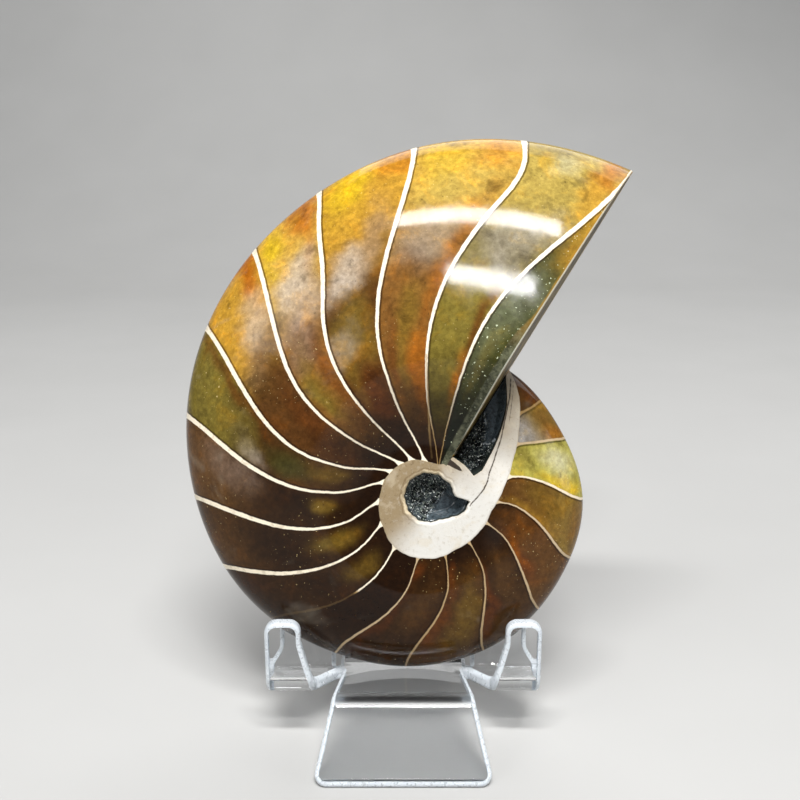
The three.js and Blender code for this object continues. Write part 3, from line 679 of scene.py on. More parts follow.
# The crusts of crystals.
def crystal_heights(x, y, seeds, size, seed):
    """The upper envelope of many leaning pointed crystals, each with a few flat faces."""
    rng = np.random.default_rng(seed)
    total = np.zeros(x.shape)
    which = np.zeros(x.shape)
    for cx, cy in seeds:
        sides = int(rng.integers(3, 7))
        turn = rng.uniform(0, 2 * np.pi)
        tip = rng.uniform(0.45, 1.0) * size
        steep = rng.uniform(0.9, 2.0)
        lean = rng.uniform(-0.35, 0.35, 2)
        tone = rng.uniform(0, 1)
        fall = np.full(x.shape, -1e9)
        for k in range(sides):
            a = turn + 2 * np.pi * k / sides + rng.uniform(-0.2, 0.2)
            fall = np.maximum(fall, steep * ((x - cx) * math.cos(a) + (y - cy) * math.sin(a)))
        height = tip - fall + lean[0] * (x - cx) + lean[1] * (y - cy)
        height = np.minimum(height, tip * rng.uniform(0.8, 1.1))
        higher = height > total
        total = np.where(higher, height, total)
        which = np.where(higher, tone, which)
    return total, which


def crust(name, place, rows, columns, spacing, size, seed):
    """A closed crust over a patch; place gives plane coordinates and the floor's height at grid points."""
    p, q = np.meshgrid(np.linspace(0, 1, rows + 1), np.linspace(0, 1, columns + 1), indexing="ij")
    x, y, floor, edge, calm = place(p, q)
    rng = np.random.default_rng(seed)
    low, high = (x.min(), y.min()), (x.max(), y.max())
    count = int((high[0] - low[0]) * (high[1] - low[1]) / spacing ** 2)
    seeds = rng.uniform(low, high, (count, 2))
    heights, tone = crystal_heights(x, y, seeds, size, seed + 1)
    top = floor + 0.25 + mix(heights * edge, 0.45, 0.93 * calm)
    upper = np.stack([x, y, top], -1).reshape(-1, 3)
    index = np.arange((rows + 1) * (columns + 1)).reshape(rows + 1, columns + 1)
    faces = grid_triangles(index, turned=True).tolist()
    ring = np.concatenate([index[:, 0], index[-1, 1:], index[-2::-1, -1], index[0, -2:0:-1]])
    lower = upper[ring].copy()
    lower[:, 2] = POCKET_FLOOR if "mouth" in name else RING_HEIGHT - HOLLOW_DEPTH + 0.2
    base = len(upper)
    n = len(ring)
    for k in range(n):
        faces.append([ring[k], base + k, base + (k + 1) % n, ring[(k + 1) % n]])
    faces.append([base + k for k in range(n)][::-1])
    points = np.concatenate([upper, lower])
    made = new_object(name, part_frame(*points.T), faces)
    add_values(made.data, "tone", np.concatenate([tone.ravel(), np.zeros(n)]), "POINT")
    add_values(made.data, "calm", np.concatenate([calm.ravel(), np.zeros(n)]), "POINT")
    fix_normals(made)
    return made


def fix_normals(made):
    work = bmesh.new()
    work.from_mesh(made.data)
    bmesh.ops.recalc_face_normals(work, faces=work.faces)
    work.to_mesh(made.data)
    work.free()


def hollow_place(p, q):
    x, y = 2 * p - 1, 2 * q - 1
    far = np.maximum(np.abs(x), np.abs(y))
    turn = np.arctan2(y, x)
    around = np.mod(turn - math.radians(MOUTH_DEG), 2 * np.pi) / (2 * np.pi)
    s = Spokes(around)
    r = far * (0.95 * s.hollow)
    rise = 2.6 * smooth((far - 0.62) / 0.38)
    x, y = r * np.cos(turn), r * np.sin(turn)
    calm = smooth((0.82 * x - 0.57 * y - 0.6) / 1.2)
    return x, y, RING_HEIGHT - HOLLOW_DEPTH + 0.4 + rise, 1 - 0.65 * smooth((far - 0.8) / 0.2), calm


def pocket_place(p, q):
    start = (POCKET_START_DEG + 2.5 - MOUTH_DEG) / 360
    s = Spokes(mix(start, 0.9985, q))
    inner = s.pocket_inner + 0.6 * POCKET_WALL
    outer = s.pocket_outer - 0.6 * POCKET_WALL
    r = mix(inner, outer, p)
    side = np.abs(2 * p - 1)
    rise = 1.6 * smooth((side - 0.6) / 0.4) * smooth((1 - q) / 0.08)
    u, v = s.plane(r, POCKET_FLOOR + 0.5)
    calm = smooth((p - 0.5) / 0.16) * smooth((q - 0.3) / 0.2)
    return u, v, POCKET_FLOOR + 0.2 + rise, 1 - 0.5 * smooth((side - 0.8) / 0.2), calm


print("building the crusts")
hollow_crust = crust("umbilical_druse", hollow_place, rows=130, columns=130, spacing=0.48, size=1.25, seed=5)
pocket_crust = crust("mouth_druse", pocket_place, rows=70, columns=200, spacing=0.62, size=1.3, seed=9)

# The stand: one sheet, cut and bent, in its own middle's frame.
SHEET = 2.6
HALF = SHEET / 2
SHEET_MIDDLE = LEDGE_TOP - HALF
TONGUE_SLOPE = math.radians(49)
TONGUE_BEND_Y = -11.7
TONGUE_HALF = {"rear": 11.9, "bend": 13.8, "foot": 16.8}
BACK_HALF, BACK_LENGTH = 24.6, 50.8
LEG_HALF, LEG_LENGTH, LEG_BEND_Y = 12.6, 36, 3.4
HOOK_OUTER, HOOK_TOP, HOOK_FRONT_Y = 26.5, 25.8, -7.8
BEND_STEPS = 12


def corner_arc(before, here, after, steps, room_share=math.inf):
    """The points of a round bend in place of a corner (x, y, radius)."""
    point = np.array(here[:2], float)
    back = np.array(before[:2]) - point
    ahead = np.array(after[:2]) - point
    room = room_share * min(np.linalg.norm(back), np.linalg.norm(ahead))
    back, ahead = back / np.linalg.norm(back), ahead / np.linalg.norm(ahead)
    half = math.acos(np.clip(back @ ahead, -1, 1)) / 2
    reach = min(here[2] / math.tan(half), room)
    radius = reach * math.tan(half)
    centre = point + (back + ahead) / np.linalg.norm(back + ahead) * radius / math.sin(half)
    start, end = point + back * reach - centre, point + ahead * reach - centre
    swing = math.atan2(start[0] * end[1] - start[1] * end[0], start @ end)
    turns = [swing * k / steps for k in range(steps + 1)]
    return [centre + [start[0] * math.cos(a) - start[1] * math.sin(a),
                      start[0] * math.sin(a) + start[1] * math.cos(a)] for a in turns]


class BentLine:
    """A line of straight runs and round bends in Y and Z; reach is the length along it from its start."""

    def __init__(self, *corners):
        line, marks = [np.array(corners[0][:2], float)], []
        for around in zip(corners[:-2], corners[1:-1], corners[2:]):
            marks.append(len(line))
            line += corner_arc(*around, BEND_STEPS)
        line.append(np.array(corners[-1][:2], float))
        self.line = np.array(line)
        step = np.diff(self.line, axis=0)
        self.length = np.append(0, np.cumsum(np.linalg.norm(step, axis=1)))
        self.bends = [(self.length[m], self.length[m + BEND_STEPS]) for m in marks]
        step /= np.linalg.norm(step, axis=1)[:, None]
        around = np.concatenate([step[:1], step[:-1] + step[1:], step[-1:]])
        self.forward = around / np.linalg.norm(around, axis=1)[:, None]

    def reach_where(self, value, direction):
        """The reach at which the line has come this far in a direction."""
        seen = self.line @ np.array(direction)
        order = np.argsort(seen)
        return float(np.interp(value, seen[order], self.length[order]))

    def at(self, reach, off):
        """Where a point of the sheet lies: this far along, and off the middle line."""
        y, z, fy, fz = [np.interp(reach, self.length, column) for column in (*self.line.T, *self.forward.T)]
        size = np.hypot(fy, fz)
        beyond = np.maximum(0, reach - self.length[-1])
        return y - off * fz / size + beyond * fy, z + off * fy / size + beyond * fz


SEAT_Y = -0.5  # the flat ledge's middle line, from which each part of the sheet runs back or forward
BACK_CORNER_Y = SEAT_GAP + HALF * math.tan((math.pi / 2 - LEAN) / 2)
LEG_FALL = math.asin(SHEET_MIDDLE / LEG_LENGTH)
TONGUE_BEND = -TONGUE_BEND_Y - HALF * math.tan(TONGUE_SLOPE / 2)
TONGUE_RUN = (SHEET_MIDDLE + 0.2) / math.sin(TONGUE_SLOPE)
HOOK_BEND = -HOOK_FRONT_Y - HALF
BACK_RUN, LEG_RUN = 55, 36.9


def run_on(y, angle, length):
    """The far end of a straight run from the ledge's height at this Y."""
    return y + math.cos(angle) * length, SHEET_MIDDLE + math.sin(angle) * length


# The parts behind the seat run towards +Y, and those in front of it towards -Y.
BEHIND, BEFORE = (SEAT_Y, SHEET_MIDDLE), (-SEAT_Y, SHEET_MIDDLE)
BACK_RISE = math.pi / 2 - LEAN
BACK = BentLine(BEHIND, (BACK_CORNER_Y, SHEET_MIDDLE, 2.3), run_on(BACK_CORNER_Y, BACK_RISE, BACK_RUN))
LEG = BentLine(BEHIND, (LEG_BEND_Y, SHEET_MIDDLE, 2.4), run_on(LEG_BEND_Y, -LEG_FALL, LEG_RUN))
TONGUE = BentLine(BEFORE, (TONGUE_BEND, SHEET_MIDDLE, 2.4), run_on(TONGUE_BEND, -TONGUE_SLOPE, TONGUE_RUN))
HOOK = BentLine(BEFORE, (HOOK_BEND, SHEET_MIDDLE, 2.8), (HOOK_BEND, HOOK_TOP))


def up_the_back(value):
    """The reach along the back at a height along its lean above the seat."""
    return BACK.reach_where(value + LEDGE_TOP * math.cos(LEAN), (math.sin(LEAN), math.cos(LEAN)))


def up_the_hook(z):
    return HOOK.reach_where(z, (1e-6, 1))


def rounded(points, steps=7):
    """A closed outline with rounded corners, from (x, y, radius)."""
    made = []
    for before, here, after in zip(points[-1:] + points[:-1], points, points[1:] + points[:1]):
        made += corner_arc(before, here, after, steps, room_share=0.49)
    return np.array(made)


EDGE_R = 0.8
SLIT_END_Y = -1.2
SLIT_END_X = 12.4
SLOT_START = 1.3  # where the saw cut beside the leg starts, from the ledge's middle line
SAW_CUT = 0.9
SLOT_CORNER_R = 5.45
HOOK_INNER = {"tab": 19.6, "knee": 18.3, "foot": 17}
HOOK_KNEE_Z = {"upper": 21.3, "middle": 16.2}
HOOK_TURN_Y = -5.2
SLOT_BLEND = (2.4, 0.4)  # over how much width the leg parts from the back: at the ledge, and beside the slot
LEG_STARTS = 4  # from here on the cut-out leg stretches a little to its full length
HOOK_SPLIT = {"reach": 8.5, "near": 15, "far": 16.9}  # the tongue and the hooks part at this X


def sheet_outlines():
    """The flat sheet's outline and the saw cut round the leg, as x and reach from the ledge's middle line."""
    tongue_tip = -TONGUE.length[-1]
    tongue_knee = -TONGUE.reach_where(-TONGUE_BEND_Y, (1, 0))
    slit = SLIT_END_Y - SEAT_Y
    hook_turn = HOOK_TURN_Y - SEAT_Y
    hook_end = -HOOK.length[-1]
    t, h = TONGUE_HALF, HOOK_INNER
    right = [
        (t["foot"], tongue_tip, 2.2),
        (t["bend"], tongue_knee, 6),
        (t["rear"], slit, 0.5),
        (SLIT_END_X + 0.5, slit, 0.5),
        (h["foot"], hook_turn, 0.8),
        (h["foot"], -up_the_hook(12.2), 3),
        (h["knee"], -up_the_hook(HOOK_KNEE_Z["middle"]), 3),
        (h["tab"], -up_the_hook(HOOK_KNEE_Z["upper"]), 3),
        (h["tab"], hook_end, 2.4),
        (HOOK_OUTER, hook_end, 2.4),
        (HOOK_OUTER, up_the_back(1), 2),
        (BACK_HALF, up_the_back(4), 2.4),
        (BACK_HALF, up_the_back(BACK_LENGTH), 8),
    ]
    left = [(-x, y, radius) for x, y, radius in reversed(right)]
    window_top = up_the_back(LEG_LENGTH)
    wide = LEG_HALF + SAW_CUT
    slot = [
        (wide, SLOT_START, 0.4),
        (wide, window_top, 5.9),
        (-wide, window_top, 5.9),
        (-wide, SLOT_START, 0.4),
        (-LEG_HALF, SLOT_START, 0.4),
        (-LEG_HALF, window_top - SAW_CUT, 5),
        (LEG_HALF, window_top - SAW_CUT, 5),
        (LEG_HALF, SLOT_START, 0.4),
    ]
    return rounded(right + left), rounded(slot), window_top - SAW_CUT


def bent_sheet():
    outline, slot, leg_end = sheet_outlines()
    curve = bpy.data.curves.new("sheet_outline", "CURVE")
    curve.dimensions = "2D"
    curve.fill_mode = "BOTH"
    curve.extrude = HALF - EDGE_R
    curve.bevel_depth = EDGE_R
    curve.bevel_resolution = 3
    curve.offset = -EDGE_R
    for loop in (outline, slot):
        spline = curve.splines.new("POLY")
        spline.points.add(len(loop) - 1)
        spline.points.foreach_set("co", np.insert(loop, 2, [[0], [1]], axis=1).ravel())
        spline.use_cyclic_u = True
    flat = linked("sheet_outline", curve)
    bpy.context.view_layer.update()
    mesh = bpy.data.meshes.new_from_object(flat.evaluated_get(bpy.context.evaluated_depsgraph_get()))
    bpy.data.objects.remove(flat)
    bpy.data.curves.remove(curve)
    work = bmesh.new()
    work.from_mesh(mesh)
    bpy.data.meshes.remove(mesh)
    bmesh.ops.remove_doubles(work, verts=work.verts, dist=1e-4)
    cuts = []
    for line, way in ((BACK, 1), (LEG, 1), (TONGUE, -1), (HOOK, -1)):
        for start, end in line.bends:
            cuts += [way * value for value in np.linspace(start, end, BEND_STEPS + 1)]
    cuts += list(np.arange(-24, 54, 3.0))
    planes = [((0, value, 0), (0, 1, 0)) for value in sorted(cuts)]
    planes += [((value, 0, 0), (1, 0, 0)) for value in np.arange(-25, 26, 2.5)]
    for place, normal in planes:
        everything = work.verts[:] + work.edges[:] + work.faces[:]
        bmesh.ops.bisect_plane(work, geom=everything, dist=1e-5, plane_co=place, plane_no=normal)
    bmesh.ops.remove_doubles(work, verts=work.verts, dist=2e-3)
    bmesh.ops.recalc_face_normals(work, faces=work.faces)
    co = np.array([v.co for v in work.verts])
    x, reach, off = co.T
    behind = reach >= 0
    far = np.maximum(0, reach)
    width = mix(*SLOT_BLEND, np.clip(far / SLOT_START, 0, 1))
    side = np.abs(x) - (LEG_HALF + SAW_CUT / 2 - SLOT_CORNER_R)
    past = reach - (leg_end + SAW_CUT / 2 - SLOT_CORNER_R)
    from_slot = np.hypot(np.maximum(side, 0), np.maximum(past, 0)) - SLOT_CORNER_R
    from_slot += np.minimum(np.maximum(side, past), 0)
    to_back = smooth(from_slot / width + 0.5)
    stretch = (LEG.length[-1] - LEG_STARTS) / (leg_end - LEG_STARTS)
    leg_reach = np.where(far > LEG_STARTS, LEG_STARTS + (far - LEG_STARTS) * stretch, far)
    back_y, back_z = BACK.at(far, off)
    leg_y, leg_z = LEG.at(leg_reach, off)
    ahead = np.maximum(0, -reach)
    tongue_y, tongue_z = TONGUE.at(ahead, off)
    hook_y, hook_z = HOOK.at(ahead, off)
    split = np.where(ahead > HOOK_SPLIT["reach"], HOOK_SPLIT["far"], HOOK_SPLIT["near"])
    to_hook = (np.abs(x) > split).astype(float)
    y = np.where(behind, mix(leg_y, back_y, to_back), -mix(tongue_y, hook_y, to_hook))
    z = np.where(behind, mix(leg_z, back_z, to_back), mix(tongue_z, hook_z, to_hook))
    points = np.stack([x + MIDDLE[0], y + MIDDLE[1], np.maximum(z, 0)], 1)
    for vert, point in zip(work.verts, points * MM):
        vert.co = point
    mesh = bpy.data.meshes.new("clear_stand")
    work.to_mesh(mesh)
    work.free()
    made = linked("clear_stand", mesh)
    mesh.polygons.foreach_set("use_smooth", [True] * len(mesh.polygons))
    add_values(mesh, "cut_edge", np.abs(off) < HALF - 0.02, "POINT")
    bend_start, bend_end = TONGUE.bends[0]
    ease = 0.4
    at_bend = smooth((ahead - bend_start + ease) / ease) * smooth((bend_end - ahead) / ease)
    add_values(mesh, "bend", at_bend * (1 - to_hook), "POINT")
    even = made.modifiers.new("even_normals", "WEIGHTED_NORMAL")
    even.mode = "FACE_AREA"
    even.weight = 60
    return made


print("building the stand")
stand = bent_sheet()

# Floor, light and camera.


def floor_sweep():
    """A pale floor that curves up into a wall far behind the object."""
    steps, start, radius, below = 24, 0.55, 0.5, -0.00006
    profile = [(-3, below), (start, below)]
    for k in range(1, steps + 1):
        a = 0.5 * math.pi * k / steps
        profile.append((start + radius * math.sin(a), radius * (1 - math.cos(a))))
    profile.append((start + radius, 3))
    vertices = [(x / MM, y / MM, z / MM) for y, z in profile for x in (-4, 4)]
    faces = [(2 * i, 2 * i + 1, 2 * i + 3, 2 * i + 2) for i in range(len(profile) - 1)]
    return new_object("studio_floor", vertices, faces, smooth_angle=60)


floor = floor_sweep()


def area_light(name, place, target, size, power, roll=0):
    light = bpy.data.lights.new(name, "AREA")
    light.shape = "RECTANGLE"
    light.size, light.size_y = size
    light.energy = power
    made = linked(name, light)
    made.location = place
    aim = (Vector(target) - Vector(place)).to_track_quat("-Z", "Y")
    made.rotation_euler = (aim @ Quaternion((0, 0, 1), math.radians(roll))).to_euler()


OBJECT_MIDDLE = (0, 0, 0.06)
area_light("upper_strip", (0.0, -0.42, 1.0), (0, 0, 0.09), size=(0.62, 0.095), power=12, roll=-5)
area_light("front_strip", (0.021, -0.322, 0.437), (0, -0.02, 0.1), size=(0.15, 0.036), power=1.4, roll=-4)
area_light("left_fill", (-0.9, -0.6, 0.75), OBJECT_MIDDLE, size=(0.5, 0.4), power=2.5)
area_light("right_fill", (0.95, -0.25, 0.35), OBJECT_MIDDLE, size=(0.3, 0.4), power=1.2)
area_light("rear_fill", (0.25, 0.6, 0.75), (0, 0, 0.05), size=(1.3, 0.6), power=4.5)

VIEW_PLACE, VIEW_TILT = (-0.001871, -0.187934, 0.115661), math.radians(75)
camera = bpy.data.cameras.new("camera")
camera.lens = 45
camera.sensor_width = 36
camera.clip_start = 0.01
view = linked("camera", camera)
view.location = VIEW_PLACE
view.rotation_euler = (VIEW_TILT, 0, 0)
bpy.context.scene.camera = view

world = bpy.data.worlds.new("studio")
world.use_nodes = True
sky = world.node_tree.nodes["Background"].inputs
sky["Color"].default_value = (0.8, 0.85, 0.92, 1)
sky["Strength"].default_value = 0.22
bpy.context.scene.world = world
bpy.context.scene.view_settings.view_transform = "Standard"


# Materials.
class Field:
    """A number or a colour that varies over a surface: one node's output. Each sum on it adds a node."""

    def __init__(self, look, socket):
        self.look = look
        self.socket = socket

    def __add__(self, other):
        return self.look.math("ADD", self, other)

    def __sub__(self, other):
        return self.look.math("SUBTRACT", self, other)

    def __rsub__(self, other):
        return self.look.math("SUBTRACT", other, self)

    def __mul__(self, other):
        return self.look.math("MULTIPLY", self, other)

    def __truediv__(self, other):
        return self.look.math("DIVIDE", self, other)

    def __abs__(self):
        return self.look.math("ABSOLUTE", self)

    def fade(self, start, end, low=0.0, high=1.0):
        """From low where this is at the start to high where it is at the end, smoothly."""
        given = dict(enumerate((self, start, end, low, high)))
        return self.look.node("MapRange", given, interpolation_type="SMOOTHSTEP")

    def line(self, half, soft=0.09):
        """A soft-edged line along the zero of this distance."""
        return (self - half).fade(soft, -soft)

    def under(self, cover, share):
        """This colour with another laid over it, as strongly as the share says."""
        return self.look.mix(share, self, cover)

    def tinted(self, *tint):
        return self.look.mix(1.0, self, tint, "MULTIPLY")


class Look:
    """One material, with short ways to add its nodes; lengths are in millimetres."""

    def __init__(self, name):
        self.material = bpy.data.materials.new(name)
        self.material.use_nodes = True
        self.tree = self.material.node_tree
        self.place = self.node("TexCoord", {}, "Object")
        self.known = {}

    def put(self, socket, value):
        if isinstance(value, Field):
            self.tree.links.new(value.socket, socket)
        elif socket.type == "RGBA":
            socket.default_value = (*value[:3], 1)
        else:
            socket.default_value = value

    def node(self, kind, given, output=0, **settings):
        """A new node with its settings and its given inputs, as the field of one output."""
        node = self.tree.nodes.new("ShaderNode" + kind)
        for name, setting in settings.items():
            setattr(node, name, setting)
        for key, value in given.items():
            self.put(node.inputs[key], value)
        return Field(self, node.outputs[output])

    def value(self, name):
        """A mesh's own numbers or colours of that name."""
        if name not in self.known:
            output = "Color" if name == "pigment" else "Fac"
            self.known[name] = self.node("Attribute", {}, output, attribute_name=name)
        return self.known[name]

    def math(self, operation, *values):
        return self.node("Math", dict(enumerate(values)), operation=operation)

    def mix(self, share, a, b, blend="MIX"):
        return self.node("Mix", {0: share, 6: a, 7: b}, 2, data_type="RGBA", blend_type=blend)

    def noise(self, size, detail, roughness=0.6, distortion=0.0, seed=0.0):
        given = {"Vector": self.place, "W": seed, "Scale": 1 / (size * MM)}
        given.update(Detail=detail, Roughness=roughness, Distortion=distortion)
        return self.node("TexNoise", given, noise_dimensions="4D")

    def wobble(self, reach, *noise):
        """Noise that swings by up to the reach to either side of zero."""
        return (self.noise(*noise) - 0.5) * (2 * reach)

    def bump(self, height, depth, strength):
        self.wire(Normal=self.node("Bump", {"Height": height, "Distance": depth * MM, "Strength": strength}))

    def wire(self, **inputs):
        for name, value in inputs.items():
            self.put(self.tree.nodes["Principled BSDF"].inputs[name.replace("_", " ")], value)
        return self.material


PALE_LINE, DIM_LINE, DARK_LINE = pigment("e8dcc5"), pigment("9a7d50"), pigment("1c0f07")
CLOUD, GLINT, VEIL_AND_SHEEN = pigment("1f1208"), pigment("e4c98a"), pigment("a09684")
PAINTED_SPARKLE = pigment("cfd6b4")
STRIP_DARK, STRIP_PALE, STRIP_GOLD = pigment("2b2d22"), pigment("62634f"), pigment("94702c")
CUT_EDGE_HIGHLIGHT = pigment("c9c9b8")
PORCELAIN, TAN, CREAM, STAIN_AND_SHADE = pigment("cbc8c1"), pigment("8c7a5d"), pigment("c2b59d"), pigment("6b573c")
CHALK, LIP_PALE, LIP_WARM = pigment("a59c8c"), pigment("dedad0"), pigment("d3c3a2")
CRACK_COLOUR, GOLD = pigment("3a2f25"), pigment("b98a2a")
FILL_DARK, FILL_PALE = pigment("1c1007"), pigment("c9b88a")
MUD_DARK, MUD_PALE, MUD_BLACK = pigment("231c0c"), pigment("75602a"), pigment("141a19")
ROCK_DARK, ROCK_PALE, IVORY = pigment("0c100f"), pigment("39413d"), pigment("efe4cc")
CRYSTAL_DARK, CRYSTAL_PALE, CRYSTAL_FACE = pigment("121618"), pigment("40474a"), pigment("8b9488")
CRYSTAL_GLINT, CRYSTAL_GAP_SHADE = pigment("f4f6f0"), pigment("06090a")
SHEEN_DARK, SHEEN_PALE, SEAM = pigment("2a3136"), pigment("4d585e"), pigment("c3ccd2")
SAWN_DARK, SAWN_PALE = pigment("c9d2da"), pigment("eef2f5")
BACK_FILLS = ["3a220f", "6e4217", "a36c1e", "7a6426", "a8954a", "54301a", "c4b283", "7c4214"]


def flank_colour(look):
    """The polished chambers with the pale lines between them, and how much of it is line."""
    ragged = look.wobble(0.18, 1.6, 4)
    number, tone, half = look.value("chamber"), look.value("line_tone"), look.value("line_half")
    radius, from_cut = look.value("radius"), look.value("from_cut")
    off = (number - look.math("ROUND", number)) * look.value("pitch") + ragged

    clouds = look.noise(5.5, 7, 0.66, 0.6, 1)
    grain = look.noise(1.1, 4, 0.7, 0.2, 2)
    colour = look.value("pigment").under(CLOUD, clouds.fade(0.48, 0.3, 0, 0.5))
    colour = colour.under(colour.tinted(1.5, 1.28, 0.85), clouds.fade(0.5, 0.72))
    dark, light = colour.tinted(0.62, 0.58, 0.55), colour.tinted(1.35, 1.35, 1.4)
    colour = colour.under(dark, grain.fade(0.54, 0.34, 0, 0.6))
    colour = colour.under(light, grain.fade(0.5, 0.66, 0, 0.75))
    # Painted glints: small golden points that look lit, in clouded patches of the flank.
    golden_glints = look.noise(0.42, 1, 0.5, 0, 3).fade(0.70, 0.76, 0, 0.5)
    colour = colour.under(GLINT, golden_glints * look.noise(12, 2, 0.5, 0, 4).fade(0.42, 0.6))
    # Painted sparkle: small pale points in the chamber at the mouth, as if its crystals caught the light.
    last = number.fade(1.0, 0.95) * look.noise(0.5, 1, 0.5, 0, 46).fade(0.68, 0.73)
    colour = colour.under(PAINTED_SPARKLE, last * 0.8)
    colour = colour.under(DARK_LINE, look.noise(0.6, 1, 0.5, 0, 5).fade(0.29, 0.25, 0, 0.35))
    # A pale milky veil in clouds, stronger towards the rim: partly painted soft reflection on the flank.
    veil_and_sheen = look.noise(17, 4, 0.6, 1.2, 6).fade(0.56, 0.74) * look.value("share")
    colour = colour.under(VEIL_AND_SHEEN, veil_and_sheen * 0.28)
    colour = colour.under(PALE_LINE, look.value("scratch").line(0.035, 0.05) * 0.45)

    # The strip beside the mouth: olive grey below, golden above, with a thin pale line along the cut that is
    # a painted highlight of its rounded edge.
    outer = radius.fade(30, 42)
    at_mouth = (from_cut + ragged * 2.0 - outer.fade(0, 1, 1.9, 0.5)).fade(0.25, -0.25)
    strip = look.mix(grain.fade(0.35, 0.65), STRIP_DARK, STRIP_PALE).under(STRIP_GOLD, outer)
    colour = colour.under(strip, at_mouth * 0.75)
    # Painted highlight: a thin pale line along the cut's rounded edge.
    colour = colour.under(CUT_EDGE_HIGHLIGHT, from_cut.fade(0.3, 0.12) * radius.fade(12, 16) * 0.8)

    # Painted shadow: a thin dark line on the forward side of each pale suture line, as if the line were
    # raised.
    ahead = abs(off + (half + 0.2))
    colour = colour.under(DARK_LINE, ahead.fade(0.34, 0.0) * tone.fade(0.0, 0.5, 0, 0.75))
    line = abs(off).line(half) * tone.fade(0.0, 0.45)
    ink = look.mix(tone.fade(0.3, 0.95), DIM_LINE, PALE_LINE)
    colour = colour.under(ink.under(TAN, look.noise(1.3, 3, 0.6, 0, 7).fade(0.5, 0.3, 0, 0.35)), line)
    branch = (look.value("branch") + ragged).line(0.16, 0.12)
    return colour.under(DIM_LINE, branch * radius.fade(9, 15, 0.1, 0.6)), line


def band_colour(look):
    """The porcelain-like band round the hollow, with painted shade on its upper left, its crack and its
    ragged lip.
    """
    shade = look.value("band_shade")
    # Painted shade: the band goes from porcelain to tan where the shade share is high.
    colour = look.mix(shade, PORCELAIN, TAN)
    colour = colour.under(CREAM, look.noise(2.4, 5, 0.6, 0.4, 8).fade(0.5, 0.3, 0, 0.4))
    colour = colour.under(CHALK, look.noise(0.8, 5, 0.7, 0.3, 13).fade(0.48, 0.32, 0, 0.5))
    # Brown streaks on the band, kept to its painted-shade side, so they are partly painted shade.
    colour = colour.under(STAIN_AND_SHADE, look.noise(0.9, 4, 0.7, 0.8, 9).fade(0.46, 0.3) * shade * 0.7)
    colour = colour.under(TAN, look.value("band_edge").fade(-0.5, 0.0, 0, 0.3))
    from_lip = look.value("lip") + look.wobble(0.55, 1.1, 4, 0.65, 0, 10)
    lip = from_lip.fade(0.42, 0.22) * look.noise(1.7, 3, 0.6, 0, 12).fade(0.4, 0.52, 0.3, 1)
    # Painted shade: the lip is warmer and darker where the band's painted shade falls, and paler on the lit
    # side.
    lip_colour = look.mix(shade, LIP_PALE, LIP_WARM)
    lip_colour = lip_colour.under(TAN, look.noise(3.2, 3, 0.6, 0, 14).fade(0.5, 0.62, 0, 0.7))
    colour = colour.under(lip_colour, lip * 0.85)
    # Painted shade: a brown band just outside the lip, on the band's shaded side.
    colour = colour.under(STAIN_AND_SHADE, abs(from_lip - 0.62).fade(0.22, 0) * (shade * 0.6))
    wobble = look.wobble(0.12, 0.7, 3, 0.6, 0, 11)
    colour = colour.under(CRACK_COLOUR, (look.value("crack") + wobble).line(0.13, 0.08))
    colour = colour.under(DARK_LINE, (look.value("notch") + wobble).line(0.0, 0.06) * 0.95)
    return colour.under(CRACK_COLOUR, (look.value("second_crack") + wobble).line(0.06, 0.07) * 0.8)


def back_colour(look):
    """The sawn and polished middle of the shell: its coiled wall, its septa and what fills each chamber."""
    whorl, radius = look.value("whorl"), look.value("radius")
    turns = look.math("FLOOR", whorl)
    across = whorl - turns
    bow = across * -SEPTUM_SWEEP + across * (1.0 - across) * (-4.0 * SEPTUM_BOW)
    around = turns * 360.0 + look.value("degrees")
    inner = (around + bow - SUTURES[-1][0]) / INNER_SPACING + len(SUTURES)
    is_inner = look.math("GREATER_THAN", turns, 0.5)
    number = look.node("Mix", {0: is_inner, 2: look.value("back_chamber"), 3: inner})
    number = number + look.wobble(0.025, 3, 4, 0.6, 0, 21)
    picked = look.node("TexWhiteNoise", {"W": look.math("FLOOR", number)}, "Value", noise_dimensions="1D")
    colour = look.node("ValToRGB", {0: look.noise(4.5, 7, 0.65, 0.8, 22) * 1.5 + (picked * 0.8 - 0.65)})
    stops = colour.socket.node.color_ramp.elements
    for i, code in enumerate(BACK_FILLS):
        stop = stops[i] if i < 2 else stops.new(0)
        stop.position = i / (len(BACK_FILLS) - 1)
        stop.color = (*pigment(code), 1)
    grain = look.noise(0.9, 4, 0.7, 0, 23)
    colour = colour.under(FILL_DARK, grain.fade(0.46, 0.3, 0, 0.45))
    colour = colour.under(FILL_PALE, grain.fade(0.58, 0.75, 0, 0.4))
    small = radius.fade(2, 34)
    septum = abs(number - look.math("ROUND", number)) * radius * math.radians(INNER_SPACING)
    wall = look.math("MINIMUM", across, 1.0 - across) * radius * math.log(TURN_GROWTH)
    septum_half, wall_half = small.fade(0, 1, 0.07, 0.33), small.fade(0, 1, 0.12, 0.6)
    for gap, half, dark in ((septum, septum_half, 0.22), (wall, wall_half, 0.25)):
        colour = colour.under(DARK_LINE, gap.line(half + dark, 0.2) * 0.6)
        colour = colour.under(CREAM, gap.line(half, 0.08))
    tube = abs(across - 0.47).fade(0.022, 0.012) * septum.fade(1.9, 1.2) * small.fade(0.1, 0.4)
    return colour.under(CREAM, tube * 0.9).under(CREAM, radius.fade(1.1, 0.8))


